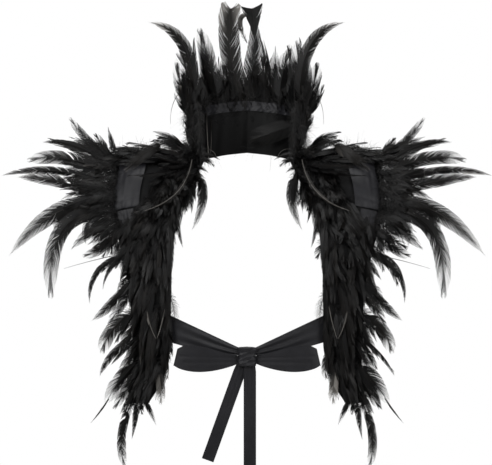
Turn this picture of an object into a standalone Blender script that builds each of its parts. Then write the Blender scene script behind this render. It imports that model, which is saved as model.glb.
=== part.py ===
# Feather cape: a satin stand collar, two shoulder pieces with hanging fronts, feather fringes
# and a ribbon tie.
# Metres, +Z up, the front faces -Y. Left and right are the wearer's, and the wearer's left is +X.
# The origin is the middle of the neck opening at shoulder height, where the wearer carries the cape.

import math
from collections import namedtuple

import bmesh
import bpy
from mathutils import Matrix, Vector
from mathutils.bvhtree import BVHTree

# Driving dimensions
CLOTH_WALL = 0.0020
COLLAR_WALL = 0.0024
RIBBON_WALL = 0.0011
RIBBON_WIDTH = 0.038
SEAM_GAP = 0.0003

COLLAR_HEIGHT_BACK = 0.083
COLLAR_HEIGHT_FRONT = 0.086
COLLAR_FLARE = 0.011
COLLAR_CORNER = 0.16
COLLAR_SEAT = 0.0004

TAPE_WIDTH = 0.006
TAPE_WALL = 0.0011
TAPE_LIFT = 0.0006
QUILL_ROOT = 0.0032
BLADE_WALL_ROOT = 0.0011
BLADE_WALL_TIP = 0.0008
FEATHER_CLEARANCE = 0.0004

KNOT_HALF = Vector((0.0130, 0.0085, 0.0150))
KNOT_CENTRE = Vector((0.0, -0.1180, -0.2950))
TAIL_WIDTH = RIBBON_WIDTH / 2
TAIL_WALL = 0.0022

# The neckline from the middle of the back round to the front corner, where the collar and the shoulder meet
NeckPoint = namedtuple("NeckPoint", "x y z")
NECKLINE = (
    NeckPoint(0.000, 0.078, 0.020),
    NeckPoint(0.036, 0.072, 0.016),
    NeckPoint(0.066, 0.048, 0.010),
    NeckPoint(0.079, 0.010, 0.010),
    NeckPoint(0.078, -0.016, 0.004),
    NeckPoint(0.073, -0.036, -0.008),
)
# Shares of the neckline, 0 in the middle of the back and 1 at the corner: where the shoulder piece starts,
# and where the shoulder's ridge meets it
NECK_BACK = 0.40
NECK_RIDGE = 0.62

# The cloth of one side, from the back hem over the shoulder and down the front.
# Each row is one section: its inner edge, its outer edge and how far its middle bows out.
Section = namedtuple("Section", "name inner outer bow")


def neckline(share):
    """A point of the neckline, share 0 in the middle of the back and 1 at the front corner."""
    return Vector(smooth_row(NECKLINE, share * (len(NECKLINE) - 1)))


def smooth_row(rows, at):
    """The row at a place between rows, on a smooth curve through all of them."""
    last = len(rows) - 1
    at = min(max(at, 0.0), float(last))
    k = min(int(at), last - 1)
    f = at - k
    before, here = rows[max(k - 1, 0)], rows[k]
    there, after = rows[k + 1], rows[min(k + 2, last)]
    found = []
    for a, b, c, d in zip(before, here, there, after):
        found.append(
            b
            + 0.5 * f * (c - a)
            + f * f * (a - 2.5 * b + 2 * c - 0.5 * d)
            + f * f * f * (1.5 * b - 1.5 * c + 0.5 * d - 0.5 * a)
        )
    return found


SECTIONS = (
    Section("back hem", (0.092, 0.074, -0.034), (0.176, 0.056, -0.050), 0.005),
    Section("back slope", neckline(NECK_BACK), (0.190, 0.038, -0.014), 0.008),
    Section("ridge", neckline(NECK_RIDGE), (0.203, 0.000, 0.006), 0.009),
    Section("front slope", neckline(1.0), (0.211, -0.040, -0.022), 0.010),
    Section("shoulder front", (0.094, -0.066, -0.048), (0.212, -0.066, -0.062), 0.008),
    Section("chest", (0.110, -0.090, -0.100), (0.199, -0.084, -0.113), 0.006),
    Section("bust", (0.116, -0.106, -0.166), (0.184, -0.098, -0.173), 0.004),
    Section("under bust", (0.117, -0.103, -0.232), (0.178, -0.097, -0.236), 0.003),
    Section("tie", (0.118, -0.097, -0.286), (0.176, -0.092, -0.286), 0.003),
    Section("waist", (0.131, -0.093, -0.332), (0.178, -0.089, -0.332), 0.002),
    Section("hem", (0.152, -0.093, -0.368), (0.182, -0.090, -0.366), 0.002),
)
YOKE_SEAM = 4.45  # the section where the shoulder piece is sewn to the front

# One row for each length of feather trim. A trim is a tape with quills sewn into it.
# start and end are places on its cloth: (section, across) on the side, (round, up) on the collar.
# heading is seen from the front in degrees: 0 down, 90 away from the middle, 180 up.
# turn is the change of heading from root to tip, lean is towards the front and curl is back to the cloth.
# pitch tilts each blade like a louvre, and face is the share by which its tip twists round to face the front.
Trim = namedtuple(
    "Trim",
    "name cloth start end count headings turns leans lengths width curl pitch face",
)
SIDE_TRIMS = (
    Trim("front_fringe_9", "side", (9.88, 0.08), (9.88, 0.92), 4,
         (-22, 34), (4, -40), (4, 4), (0.030, 0.080), 0.012, 4, 20, 0),
    Trim("front_fringe_8", "side", (9.05, 0.07), (9.05, 0.93), 5,
         (0, 36), (2, -8), (5, 5), (0.022, 0.072), 0.013, 6, 22, 0),
    Trim("front_fringe_7", "side", (8.25, 0.06), (8.25, 0.94), 5,
         (4, 34), (4, 0), (6, 6), (0.046, 0.112), 0.015, 8, 22, 0),
    Trim("front_fringe_6", "side", (7.45, 0.06), (7.45, 0.94), 5,
         (0, 40), (0, -6), (6, 6), (0.060, 0.082), 0.014, 8, 22, 0),
    Trim("front_fringe_5", "side", (6.75, 0.06), (6.75, 0.94), 5,
         (-3, 36), (0, -8), (6, 6), (0.086, 0.084), 0.015, 8, 22, 0),
    Trim("front_fringe_4", "side", (6.05, 0.06), (6.05, 0.94), 5,
         (-2, 48), (0, -8), (6, 6), (0.098, 0.086), 0.014, 8, 22, 0),
    Trim("front_fringe_3", "side", (5.40, 0.06), (5.40, 0.94), 5,
         (-2, 62), (0, -40), (6, 6), (0.098, 0.092), 0.014, 8, 22, 0),
    Trim("neck_fringe_inner", "side", (3.90, 0.045), (3.00, 0.045), 5,
         (4, -4), (4, 10), (34, 38), (0.050, 0.056), 0.010, 26, 18, 0),
    Trim("front_fringe_2", "side", (4.72, 0.06), (4.72, 0.58), 4,
         (-4, 30), (2, -10), (8, 8), (0.092, 0.096), 0.015, 8, 22, 0),
    Trim("front_fringe_1", "side", (3.98, 0.08), (3.98, 0.54), 4,
         (-2, 34), (4, 0), (14, 14), (0.076, 0.090), 0.015, 10, 22, 0),
    Trim("back_fringe_low", "side", (0.12, 0.06), (0.12, 0.94), 6,
         (2, 34), (4, -8), (-12, -12), (0.082, 0.094), 0.015, 8, 22, 0),
    Trim("back_fringe_high", "side", (0.80, 0.12), (0.80, 0.95), 6,
         (10, 52), (0, -16), (-16, -16), (0.084, 0.092), 0.015, 10, 22, 0),
    Trim("shoulder_fringe_long", "side", (1.35, 0.975), (4.98, 0.975), 10,
         (118, 52), (-10, -40), (-16, 12), (0.125, 0.120), 0.016, 0, 16, 0.75),
    Trim("shoulder_fringe_short", "side", (1.70, 0.965), (4.60, 0.965), 8,
         (128, 64), (-10, -30), (-10, 16), (0.080, 0.092), 0.017, 0, 16, 0.75),
    Trim("shoulder_fringe_top", "side", (1.15, 0.50), (2.30, 0.50), 4,
         (84, 80), (0, -6), (-22, 4), (0.076, 0.066), 0.014, 6, 14, 0.3),
    Trim("neck_fringe_over", "side", (1.25, 0.105), (2.85, 0.105), 6,
         (94, 58), (-14, 0), (-22, 24), (0.062, 0.100), 0.015, 6, 14, 0.3),
    Trim("neck_fringe_high", "side", (1.20, 0.040), (2.72, 0.040), 6,
         (164, 148), (-70, -80), (-14, 6), (0.078, 0.060), 0.018, 0, 12, 0.6),
)
COLLAR_TRIMS = (
    Trim("collar_fringe_high", "collar", (0.44, 0.66), (0.93, 0.60), 5,
         (184, 186), (-10, -16), (-4, 2), (0.126, 0.076), 0.024, 24, 10, 0.6),
    Trim("collar_back_fringe_high", "collar", (-0.38, 0.66), (0.38, 0.66), 6,
         (186, 174), (4, -4), (-2, -2), (0.140, 0.126), 0.026, 10, 10, 0),
    Trim("collar_back_fringe_low", "collar", (-0.28, 0.30), (0.28, 0.30), 5,
         (188, 172), (6, -6), (-10, -10), (0.060, 0.060), 0.020, 0, 12, 0),
)

# Feathers that stand out from their trim: which one, and what is its own. The tip is pointed or round.
Accent = namedtuple("Accent", "trim index heading turn length width tip")
ACCENTS = (
    Accent("shoulder_fringe_long", 2, 140, -4, 0.100, 0.013, "round"),
    Accent("shoulder_fringe_long", 3, 112, -6, 0.112, 0.011, "round"),
    Accent("shoulder_fringe_long", 4, 104, -10, 0.128, 0.023, "round"),
    Accent("shoulder_fringe_long", 5, 106, -26, 0.166, 0.014, "point"),
    Accent("shoulder_fringe_long", 6, 104, -16, 0.144, 0.019, "point"),
    Accent("shoulder_fringe_long", 7, 92, -54, 0.176, 0.022, "point"),
    Accent("shoulder_fringe_long", 8, 88, -104, 0.170, 0.021, "round"),
    Accent("shoulder_fringe_long", 9, 58, -8, 0.064, 0.016, "point"),
    Accent("front_fringe_3", 4, 76, -62, 0.100, 0.012, "point"),
    Accent("front_fringe_4", 4, 46, -6, 0.088, 0.014, "point"),
    Accent("front_fringe_5", 4, 36, -8, 0.086, 0.021, "round"),
    Accent("front_fringe_6", 4, 42, -8, 0.084, 0.009, "point"),
    Accent("front_fringe_7", 4, 38, -8, 0.124, 0.017, "point"),
    Accent("front_fringe_9", 3, 36, -66, 0.104, 0.013, "round"),
    Accent("neck_fringe_over", 3, 76, -6, 0.094, 0.017, "round"),
    Accent("neck_fringe_over", 5, 40, 30, 0.116, 0.013, "point"),
    Accent("neck_fringe_inner", 4, -12, 38, 0.092, 0.013, "point"),
    Accent("collar_fringe_high", 2, 200, -58, 0.158, 0.018, "point"),
    Accent("collar_fringe_high", 3, 186, -20, 0.100, 0.028, "round"),
    Accent("collar_fringe_high", 4, 172, -16, 0.046, 0.015, "round"),
    Accent("collar_back_fringe_high", 0, 184, 2, 0.140, 0.022, "round"),
    Accent("collar_back_fringe_high", 1, 185, -2, 0.096, 0.022, "point"),
    Accent("collar_back_fringe_high", 2, 187, -3, 0.174, 0.032, "round"),
    Accent("collar_back_fringe_high", 3, 180, 2, 0.174, 0.032, "round"),
    Accent("collar_back_fringe_high", 4, 176, 2, 0.112, 0.024, "point"),
)

# A feather's outline: how far along each ring lies, and its share of the full width for each kind of tip
RINGS = (0.00, 0.20, 0.52, 0.84, 1.00)
OUTLINES = {"point": (0.0, 0.80, 1.00, 0.58, 0.05), "round": (0.0, 0.70, 1.00, 0.92, 0.36)}

MATERIALS = {
    "base_cloth": ((0.012, 0.012, 0.013), 0.80),
    "collar_satin": ((0.014, 0.014, 0.016), 0.42),
    "ribbon_satin": ((0.030, 0.031, 0.034), 0.38),
    "feather": ((0.010, 0.010, 0.011), 0.50),
}


def clear_scene():
    for obj in list(bpy.data.objects):
        bpy.data.objects.remove(obj)


def make_materials():
    made = {}
    for name, (colour, roughness) in MATERIALS.items():
        material = bpy.data.materials.new(name)
        material.use_nodes = True
        shader = material.node_tree.nodes["Principled BSDF"]
        shader.inputs["Base Color"].default_value = (*colour, 1.0)
        shader.inputs["Roughness"].default_value = roughness
        shader.inputs["Metallic"].default_value = 0.0
        made[name] = material
    return made


def add_object(name, points, faces, material, smooth=True):
    mesh = bpy.data.meshes.new(name)
    mesh.from_pydata([tuple(p) for p in points], [], faces)
    mesh.update()
    work = bmesh.new()
    work.from_mesh(mesh)
    bmesh.ops.recalc_face_normals(work, faces=work.faces)
    if work.calc_volume(signed=True) < 0:
        bmesh.ops.reverse_faces(work, faces=work.faces)
    work.to_mesh(mesh)
    work.free()
    if smooth:
        mesh.shade_smooth()
        mesh.set_sharp_from_angle(angle=math.radians(40))
    mesh.materials.append(material)
    obj = bpy.data.objects.new(name, mesh)
    bpy.context.scene.collection.objects.link(obj)
    return obj


def mirrored(obj, name):
    """The same piece on the wearer's other side."""
    mesh = obj.data.copy()
    mesh.name = name
    mesh.transform(Matrix.Diagonal((-1.0, 1.0, 1.0, 1.0)))
    mesh.flip_normals()
    twin = bpy.data.objects.new(name, mesh)
    bpy.context.scene.collection.objects.link(twin)
    return twin


# Cloth surfaces. Each gives a point and the direction that faces out of the garment there.
def side_flat(section, across):
    """A point between the inner and outer edges of the side's cloth, without its bow."""
    rows = [(*s.inner, *s.outer, s.bow) for s in SECTIONS]
    row = smooth_row(rows, section)
    inner, outer = Vector(row[:3]), Vector(row[3:6])
    if 1 <= section <= 2:
        inner = neckline(NECK_BACK + (NECK_RIDGE - NECK_BACK) * (section - 1))
    elif 2 < section <= 3:
        inner = neckline(NECK_RIDGE + (1 - NECK_RIDGE) * (section - 2))
    return inner.lerp(outer, across), row[6]


def side_cloth(section, across):
    step = 0.02
    here, bow = side_flat(section, across)
    last = len(SECTIONS) - 1
    along = side_flat(min(section + step, last), across)[0] - side_flat(max(section - step, 0), across)[0]
    over = side_flat(section, across + step)[0] - side_flat(section, across - step)[0]
    normal = along.cross(over).normalized()
    return here + normal * (bow * 4 * across * (1 - across)), normal


def collar_cloth(around, up):
    """The collar's outer face: around is -1 at the right front corner, 0 at the back, 1 at the left one."""
    share = abs(around)
    side = 1 if around >= 0 else -1
    base = neckline(share) + Vector((0, 0, COLLAR_SEAT))
    step = 0.02
    along = neckline(min(share + step, 1.0)) - neckline(max(share - step, 0.0))
    out = Vector((-along.y, along.x, 0.0)).normalized()
    if out.dot(Vector((base.x, base.y + 0.02, 0.0))) < 0:
        out = -out
    height = COLLAR_HEIGHT_BACK + (COLLAR_HEIGHT_FRONT - COLLAR_HEIGHT_BACK) * share**2
    corner = max(0.0, (share - 1.0 + COLLAR_CORNER) / COLLAR_CORNER)
    height -= 0.018 * (1.0 - math.sqrt(max(0.0, 1.0 - corner**2)))
    flare = COLLAR_FLARE * up**1.4 * (1.0 - 0.45 * share)
    point = base + Vector((0, 0, height * up)) + out * (flare - SEAM_GAP)
    tilt = Vector((0, 0, -flare / height))
    normal = (out + tilt).normalized()
    if side < 0:
        return Vector((-point.x, point.y, point.z)), Vector((-normal.x, normal.y, normal.z))
    return point, normal


SURFACES = {"side": side_cloth, "collar": collar_cloth}


# Walls of cloth
def wall(name, surface, firsts, seconds, thickness, material, height=0.0):
    """A wall whose outer face lies on a surface, at the given places along it and across it."""
    rows, columns = len(firsts), len(seconds)
    outer, inner = [], []
    for a in firsts:
        for b in seconds:
            point, normal = surface(a, b)
            outer.append(point + normal * height)
            inner.append(point + normal * (height - thickness))
    faces = wall_faces(rows, columns)
    return add_object(name, outer + inner, faces, material)


def wall_faces(rows, columns):
    """The faces of a closed wall from two grids of points, the outer grid first."""
    total = rows * columns
    faces = []
    for r in range(rows - 1):
        for c in range(columns - 1):
            a = r * columns + c
            quad = (a, a + 1, a + columns + 1, a + columns)
            faces.append(quad)
            faces.append(tuple(total + i for i in reversed(quad)))
    edge = [c for c in range(columns)]
    edge += [r * columns + columns - 1 for r in range(1, rows)]
    edge += [(rows - 1) * columns + c for c in range(columns - 2, -1, -1)]
    edge += [r * columns for r in range(rows - 2, 0, -1)]
    for a, b in zip(edge, edge[1:] + edge[:1]):
        faces.append((b, a, total + a, total + b))
    return faces


def steps(first, last, count):
    """Evenly spaced values from first to last."""
    return [first + (last - first) * k / (count - 1) for k in range(count)]


def build_cloth(made):
    """The collar, its gathered inner ribbon, the two shoulder pieces and the two fronts."""
    wall("collar", collar_cloth, steps(-1, 1, 31), steps(0, 1, 5), COLLAR_WALL, made["collar_satin"])
    gathers, reach = 18, 0.93

    def gathered(around, up):
        point, normal = collar_cloth(around, up)
        wave = 0.5 + 0.5 * math.cos(around / reach * math.pi * gathers)
        return point - normal * (COLLAR_WALL + 0.0006 + 0.0014 * wave), normal

    wall(
        "collar_ribbon",
        gathered,
        steps(-reach, reach, gathers * 3 + 1),
        steps(0.82, 0.97, 2),
        RIBBON_WALL,
        made["ribbon_satin"],
    )
    seam = SEAM_GAP / 0.058
    yoke = wall(
        "shoulder_left",
        side_cloth,
        steps(0.0, YOKE_SEAM - seam, 21),
        steps(0.003, 1, 8),
        CLOTH_WALL,
        made["base_cloth"],
    )
    front = wall(
        "front_left",
        side_cloth,
        steps(YOKE_SEAM + seam, len(SECTIONS) - 1, 23),
        steps(0, 1, 5),
        CLOTH_WALL,
        made["base_cloth"],
    )
    mirrored(yoke, "shoulder_right")
    mirrored(front, "front_right")
    return [bpy.data.objects[n] for n in ("collar", "collar_ribbon", "shoulder_left", "front_left")]


# Ribbons
def build_shoulder_ribbon(made):
    """The wide ribbon over each shoulder, puffed up in its middle, and the folded end below it."""
    first, last = 1.55, 4.22

    def puffed(section, across):
        share = (section - first) / (last - first)
        centre = 0.725 + 0.065 * share
        inner, outer = side_cloth(section, 0.0)[0], side_cloth(section, 1.0)[0]
        half = RIBBON_WIDTH / 2 / (outer - inner).length
        point, normal = side_cloth(section, centre + half * across)
        puff = 0.0007 + RIBBON_WALL + 0.0055 * math.sin(math.pi * share) ** 0.6 * (1 - 0.35 * across**2)
        return point + normal * puff, normal

    top = wall(
        "shoulder_ribbon_left",
        puffed,
        steps(first, last, 16),
        steps(-1, 1, 5),
        RIBBON_WALL,
        made["ribbon_satin"],
    )

    def laid(section, across):
        point, normal = side_cloth(section, 0.80 + 0.115 * across)
        return point + normal * (0.0007 + RIBBON_WALL), normal

    end = wall(
        "shoulder_ribbon_end_left",
        laid,
        steps(4.27, 4.95, 5),
        steps(-1, 1, 3),
        RIBBON_WALL,
        made["ribbon_satin"],
    )
    mirrored(top, "shoulder_ribbon_right")
    mirrored(end, "shoulder_ribbon_end_right")
    return [top, end]


def build_tie(made):
    """The ribbons from each front to the knot: the tie, its bow loop, the knot and the two tails."""
    knot_side = KNOT_HALF.x + SEAM_GAP
    front_z = -0.258
    back_y = side_cloth(7.45, 0.15)[0].y + CLOTH_WALL + 0.0050
    reach = 0.129

    def tie(along, across):
        x = reach + (knot_side - reach) * along
        height = RIBBON_WIDTH * (1 - along) ** 0.75 + 0.011 * along
        middle = front_z + (KNOT_CENTRE.z + 0.007 - front_z) * along**1.15
        y = back_y + (KNOT_CENTRE.y - 0.001 - back_y) * along**1.3
        fold = 0.0034 * math.sin(math.pi * 2.5 * across + 0.6) * along**1.2
        return Vector((x, y + fold, middle + height * across / 2)), Vector((0, -1, 0))

    band = wall("tie_left", tie, steps(0, 1, 12), steps(-1, 1, 7), RIBBON_WALL, made["ribbon_satin"])
    mirrored(band, "tie_right")

    tip = 0.112
    points, rows, columns = [], 20, 4
    for layer in (0.0, RIBBON_WALL):
        for r in range(rows):
            turn = r / (rows - 1)
            sweep = 2 * math.pi * turn
            far = 0.5 - 0.5 * math.cos(sweep)
            x = knot_side + (tip - knot_side) * far**0.8
            belly = 0.0055 * math.sin(sweep) * (0.35 + 0.65 * far)
            y = KNOT_CENTRE.y + 0.004 - belly - 0.0022 * math.cos(math.pi * turn)
            top = -0.2945 + 0.0115 * far**0.8
            low = -0.3030 - 0.0160 * math.sin(math.pi * min(far, 0.98)) ** 0.7 - 0.0065 * far
            tangent = Vector((math.sin(sweep) * (tip - knot_side) * 0.5, -0.0110 * math.cos(sweep), 0.0))
            inward = Vector((-tangent.y, tangent.x, 0.0)).normalized()
            for c in range(columns):
                z = top + (low - top) * c / (columns - 1)
                points.append(Vector((x, y, z)) + inward * layer)
    loop = add_object("bow_loop_left", points, wall_faces(rows, columns), made["ribbon_satin"])
    mirrored(loop, "bow_loop_right")

    knot_points, knot_faces = rounded_block(KNOT_CENTRE, KNOT_HALF, 4.0, 16, 9)
    knot = add_object("knot", knot_points, knot_faces, made["ribbon_satin"])

    start_z = KNOT_CENTRE.z - KNOT_HALF.z - SEAM_GAP
    tails = (
        ("tail_left", Vector((0.0043, -0.1205, start_z)), Vector((0.0043, -0.1180, -0.4630))),
        ("tail_right", Vector((-0.0075, -0.1160, start_z)), Vector((-0.0605, -0.1120, -0.4540))),
    )
    built = [band, loop, knot]
    for name, top, bottom in tails:
        along = (bottom - top).normalized()
        over = along.cross(Vector((0, 1, 0))).normalized()

        def tail(share, across, top=top, bottom=bottom, over=over):
            flutter = 0.0012 * math.sin(2.2 * math.pi * share)
            gather = min(1.0, 0.62 + 2.6 * share)
            place = top.lerp(bottom, share) + over * (TAIL_WIDTH / 2 * across * gather)
            if share == 0.0:
                place.z = top.z
            return place + Vector((0, flutter, 0)), Vector((0, -1, 0))

        built.append(wall(name, tail, steps(0, 1, 9), steps(-1, 1, 3), TAIL_WALL, made["ribbon_satin"]))
    return built


def rounded_block(centre, half, power, around, up):
    """A block with rounded sides and flat ends, as a cinched ribbon wraps a knot."""
    points, faces = [], []
    for k in range(up):
        z = -1 + 2 * k / (up - 1)
        waist = 1.0 - 0.10 * (1 - abs(z)) - 0.12 * abs(z) ** 6
        for j in range(around):
            angle = 2 * math.pi * (j + 0.5) / around
            cosine, sine = math.cos(angle), math.sin(angle)
            size = (abs(cosine) ** power + abs(sine) ** power) ** (-1 / power)
            pleat = 1.0 + 0.05 * math.cos(3 * math.pi * z) * abs(sine)
            x = half.x * size * cosine * (waist + 0.04 * (1 - abs(sine)))
            y = half.y * size * sine * waist * pleat
            points.append(centre + Vector((x, y, half.z * z)))
    for k in range(up - 1):
        for j in range(around):
            n = (j + 1) % around
            faces.append((k * around + j, k * around + n, (k + 1) * around + n, (k + 1) * around + j))
    faces.append(tuple(range(around - 1, -1, -1)))
    faces.append(tuple((up - 1) * around + j for j in range(around)))
    return points, faces


# Feathers
FRONT = Vector((0.0, -1.0, 0.0))


def spread(number, salt):
    """A steady value from -1 to 1 for each feather, so that no two in a row are alike."""
    return 2.0 * ((number * 0.61803 + salt * 0.37) % 1.0) - 1.0


def feather_plan(trim, index):
    """What one feather of a trim is like: place along the tape, heading, turn, lean, length, width and tip."""
    share = (index + 0.5) / trim.count
    salt = len(trim.name) + trim.count
    for accent in ACCENTS:
        if accent.trim == trim.name and accent.index == index:
            lean = trim.leans[0] + (trim.leans[1] - trim.leans[0]) * share
            return share, accent.heading, accent.turn, lean, accent.length, accent.width, accent.tip
    ranges = (trim.headings, trim.turns, trim.leans, trim.lengths)
    values = [low + (high - low) * share for low, high in ranges]
    heading = values[0] + 5.0 * spread(index, salt)
    turn = values[1] + 7.0 * spread(index + 3, salt)
    length = values[3] * (1.0 + 0.11 * spread(index + 7, salt))
    width = trim.width * (1.0 + 0.14 * spread(index + 11, salt))
    tip = "round" if spread(index + 5, salt) > 0.45 else "point"
    return share, heading, turn, values[2], length, width, tip


def spine(root, normal, plan, trim, lift, shares):
    """Points and directions down the middle of a feather, at these shares of its length."""
    _, heading, turn, lean, length, _, _ = plan
    fine = 30
    here, found = Vector(root), []
    wanted = list(shares)
    for k in range(fine + 1):
        share = k / fine
        angle = math.radians(heading + turn * share)
        forward = math.radians(lean)
        flat = Vector((math.sin(angle), 0.0, -math.cos(angle))) * math.cos(forward)
        flat.y -= math.sin(forward)
        rise = math.tan(math.radians(lift - trim.curl * share))
        direction = (flat + normal * rise).normalized()
        while wanted and wanted[0] <= share + 0.5 / fine:
            found.append((here + direction * ((wanted[0] - share) * length), direction))
            wanted.pop(0)
        here = here + direction * (length / fine)
    return found


def blade_rings(left, right, normal, plan, trim, lift, grow=0.0):
    """Four corners for each ring of a feather, from its root in the tape to its tip."""
    width, tip = plan[5], plan[6]
    root = (left + right) / 2
    rings = []
    outline = OUTLINES[tip]
    last_over = right - left
    handed = 0
    for k, (centre, direction) in enumerate(spine(root, normal, plan, trim, lift, RINGS)):
        twist = trim.face * min(1.0, max(0.0, (RINGS[k] - 0.12) / 0.5))
        facing = normal.lerp(FRONT, twist)
        over = direction.cross(facing).normalized()
        if over.dot(last_over) < 0:
            over = -over
        last_over = over
        pitch = math.radians(trim.pitch) * min(1.0, RINGS[k] / 0.3)
        up = over.cross(direction).normalized()
        handed = handed or (1 if up.dot(normal) > 0 else -1)
        up = up * handed
        cosine, sine = math.cos(pitch), math.sin(pitch)
        over, up = over * cosine + up * sine, up * cosine - over * sine
        half = width / 2 * outline[k]
        if k < len(RINGS) - 1:
            half = max(QUILL_ROOT / 2, half)
        thick = (BLADE_WALL_ROOT + (BLADE_WALL_TIP - BLADE_WALL_ROOT) * RINGS[k]) / 2
        half, thick = half + grow, thick + grow
        rings.append(
            (centre - over * half - up * thick, centre + over * half - up * thick,
             centre + over * half + up * thick, centre - over * half + up * thick)
        )
    return rings


def tube_faces(before, now):
    """The triangles between two rings, cut the same way on both broad sides so the wall stays even."""
    return [
        (before[0], before[1], now[1]),
        (before[0], now[1], now[0]),
        (before[1], before[2], now[2]),
        (before[1], now[2], now[1]),
        (before[2], before[3], now[2]),
        (before[3], now[3], now[2]),
        (before[3], before[0], now[0]),
        (before[3], now[0], now[3]),
    ]


def blade_tree(rings, root, past=0.0):
    """A search tree of a feather from its root, or from a share of the first stretch past it."""
    points = [corner.lerp(ring_corner, past) for corner, ring_corner in zip(root, rings[1])]
    points += [p for ring in rings[1:] for p in ring]
    faces = []
    for k in range(len(rings) - 1):
        faces += tube_faces(range(4 * k, 4 * k + 4), range(4 * k + 4, 4 * k + 8))
    return tree_of(points, faces)


def tree_of(points, faces):
    low = [min(p[i] for p in points) for i in range(3)]
    high = [max(p[i] for p in points) for i in range(3)]
    return low, high, BVHTree.FromPolygons([tuple(p) for p in points], faces)


def touches(one, others):
    low, high, tree = one
    for other_low, other_high, other in others:
        if all(low[i] <= other_high[i] and other_low[i] <= high[i] for i in range(3)) and tree.overlap(other):
            return True
    return False


def obstacle(obj):
    mesh = obj.data
    return tree_of([v.co for v in mesh.vertices], [tuple(p.vertices) for p in mesh.polygons])


def tape_cuts(trim, surface):
    """The cuts across a tape, each a point, normal and way out of its edge, and which cuts start a quill."""

    def place(share):
        first = trim.start[0] + (trim.end[0] - trim.start[0]) * share
        second = trim.start[1] + (trim.end[1] - trim.start[1]) * share
        return surface(first, second)

    length = sum((place((k + 1) / 12)[0] - place(k / 12)[0]).length for k in range(12))
    half = QUILL_ROOT / 2 / length
    shares, quills = [0.0], []
    for index in range(trim.count):
        middle = feather_plan(trim, index)[0]
        if index:
            shares.append(middle - 0.5 / trim.count)
        quills.append(len(shares))
        shares += [middle - half, middle + half]
    shares.append(1.0)
    cuts = []
    for share in shares:
        point, normal = place(share)
        along = (place(min(share + 0.02, 1.0))[0] - place(max(share - 0.02, 0.0))[0]).normalized()
        cuts.append((point, normal, along.cross(normal).normalized()))
    point, normal, out = cuts[quills[trim.count // 2]]
    heading = spine(point, normal, feather_plan(trim, trim.count // 2), trim, 0.0, (0.5,))[0][0] - point
    if heading.dot(out) < 0:
        cuts = [(p, n, -o) for p, n, o in cuts]
    return cuts, quills


def tape_body(cuts, quills, height, grow=0.0):
    """The tape's points and faces, without the faces that its feathers grow out of."""
    points, faces = [], []
    for point, normal, out in cuts:
        for across, up in ((-1, 0), (1, 0), (1, 1), (-1, 1)):
            level = height + TAPE_WALL * up + grow * (2 * up - 1)
            points.append(point + out * (across * (TAPE_WIDTH / 2 + grow)) + normal * level)
    last = len(cuts) - 1
    for k in range(last):
        a, b = 4 * k, 4 * k + 4
        for i, j in ((0, 1), (2, 3), (3, 0)):
            faces.append((a + i, a + j, b + j, b + i))
        if k not in quills:
            faces.append((a + 1, a + 2, b + 2, b + 1))
    faces.append((0, 3, 2, 1))
    faces.append(tuple(4 * last + i for i in range(4)))
    return points, faces


def build_fringe(trim, name, material, obstacles):
    """One trim as one solid: the tape, and each feather grown out of a short stretch of the tape's edge.
    The tape and then each feather is lifted off the cloth until it clears all that was laid before it."""
    cuts, quills = tape_cuts(trim, SURFACES[trim.cloth])
    height = TAPE_LIFT
    while height < 0.012 and touches(tree_of(*tape_body(cuts, quills, height, FEATHER_CLEARANCE)), obstacles):
        height += 0.0002
    points, faces = tape_body(cuts, quills, height)
    laid = [tree_of(points, faces)]
    lifts = []
    for index, cut in enumerate(quills):
        a, b = 4 * cut, 4 * cut + 4
        before = (a + 1, b + 1, b + 2, a + 2)
        root = [points[i] for i in before]
        left, right = (root[0] + root[3]) / 2, (root[1] + root[2]) / 2
        normal = cuts[cut][1]
        plan = feather_plan(trim, index)
        lift = 0
        while lift < 66:
            swollen = blade_rings(left, right, normal, plan, trim, lift, FEATHER_CLEARANCE)
            meets_others = touches(blade_tree(swollen, root), obstacles)
            if not meets_others and not touches(blade_tree(swollen, root, 0.15), laid):
                break
            lift += 2
        lifts.append(lift)
        rings = blade_rings(left, right, normal, plan, trim, lift)
        laid.append(blade_tree(rings, root))
        for ring in rings[1:]:
            start = len(points)
            points.extend(ring)
            now = tuple(range(start, start + 4))
            faces += tube_faces(before, now)
            before = now
        faces.append(before)
    print(f"{name}: tape {1000 * height:.1f} mm, lifts {lifts}")
    obstacles.extend(laid)
    return add_object(name, points, faces, material, smooth=False)


def build_fringes(made, cloth):
    side = [obstacle(o) for o in cloth]
    for trim in SIDE_TRIMS:
        piece = build_fringe(trim, trim.name + "_left", made["feather"], side)
        mirrored(piece, trim.name + "_right")
    for trim in COLLAR_TRIMS:
        middle = trim.start[0] < 0
        piece = build_fringe(trim, trim.name if middle else trim.name + "_left", made["feather"], side)
        if not middle:
            side.append(obstacle(mirrored(piece, trim.name + "_right")))


def main():
    clear_scene()
    made = make_materials()
    cloth = build_cloth(made)
    cloth += build_shoulder_ribbon(made)
    cloth += build_tie(made)
    build_fringes(made, cloth)
    bpy.context.view_layer.update()


main()
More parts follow.
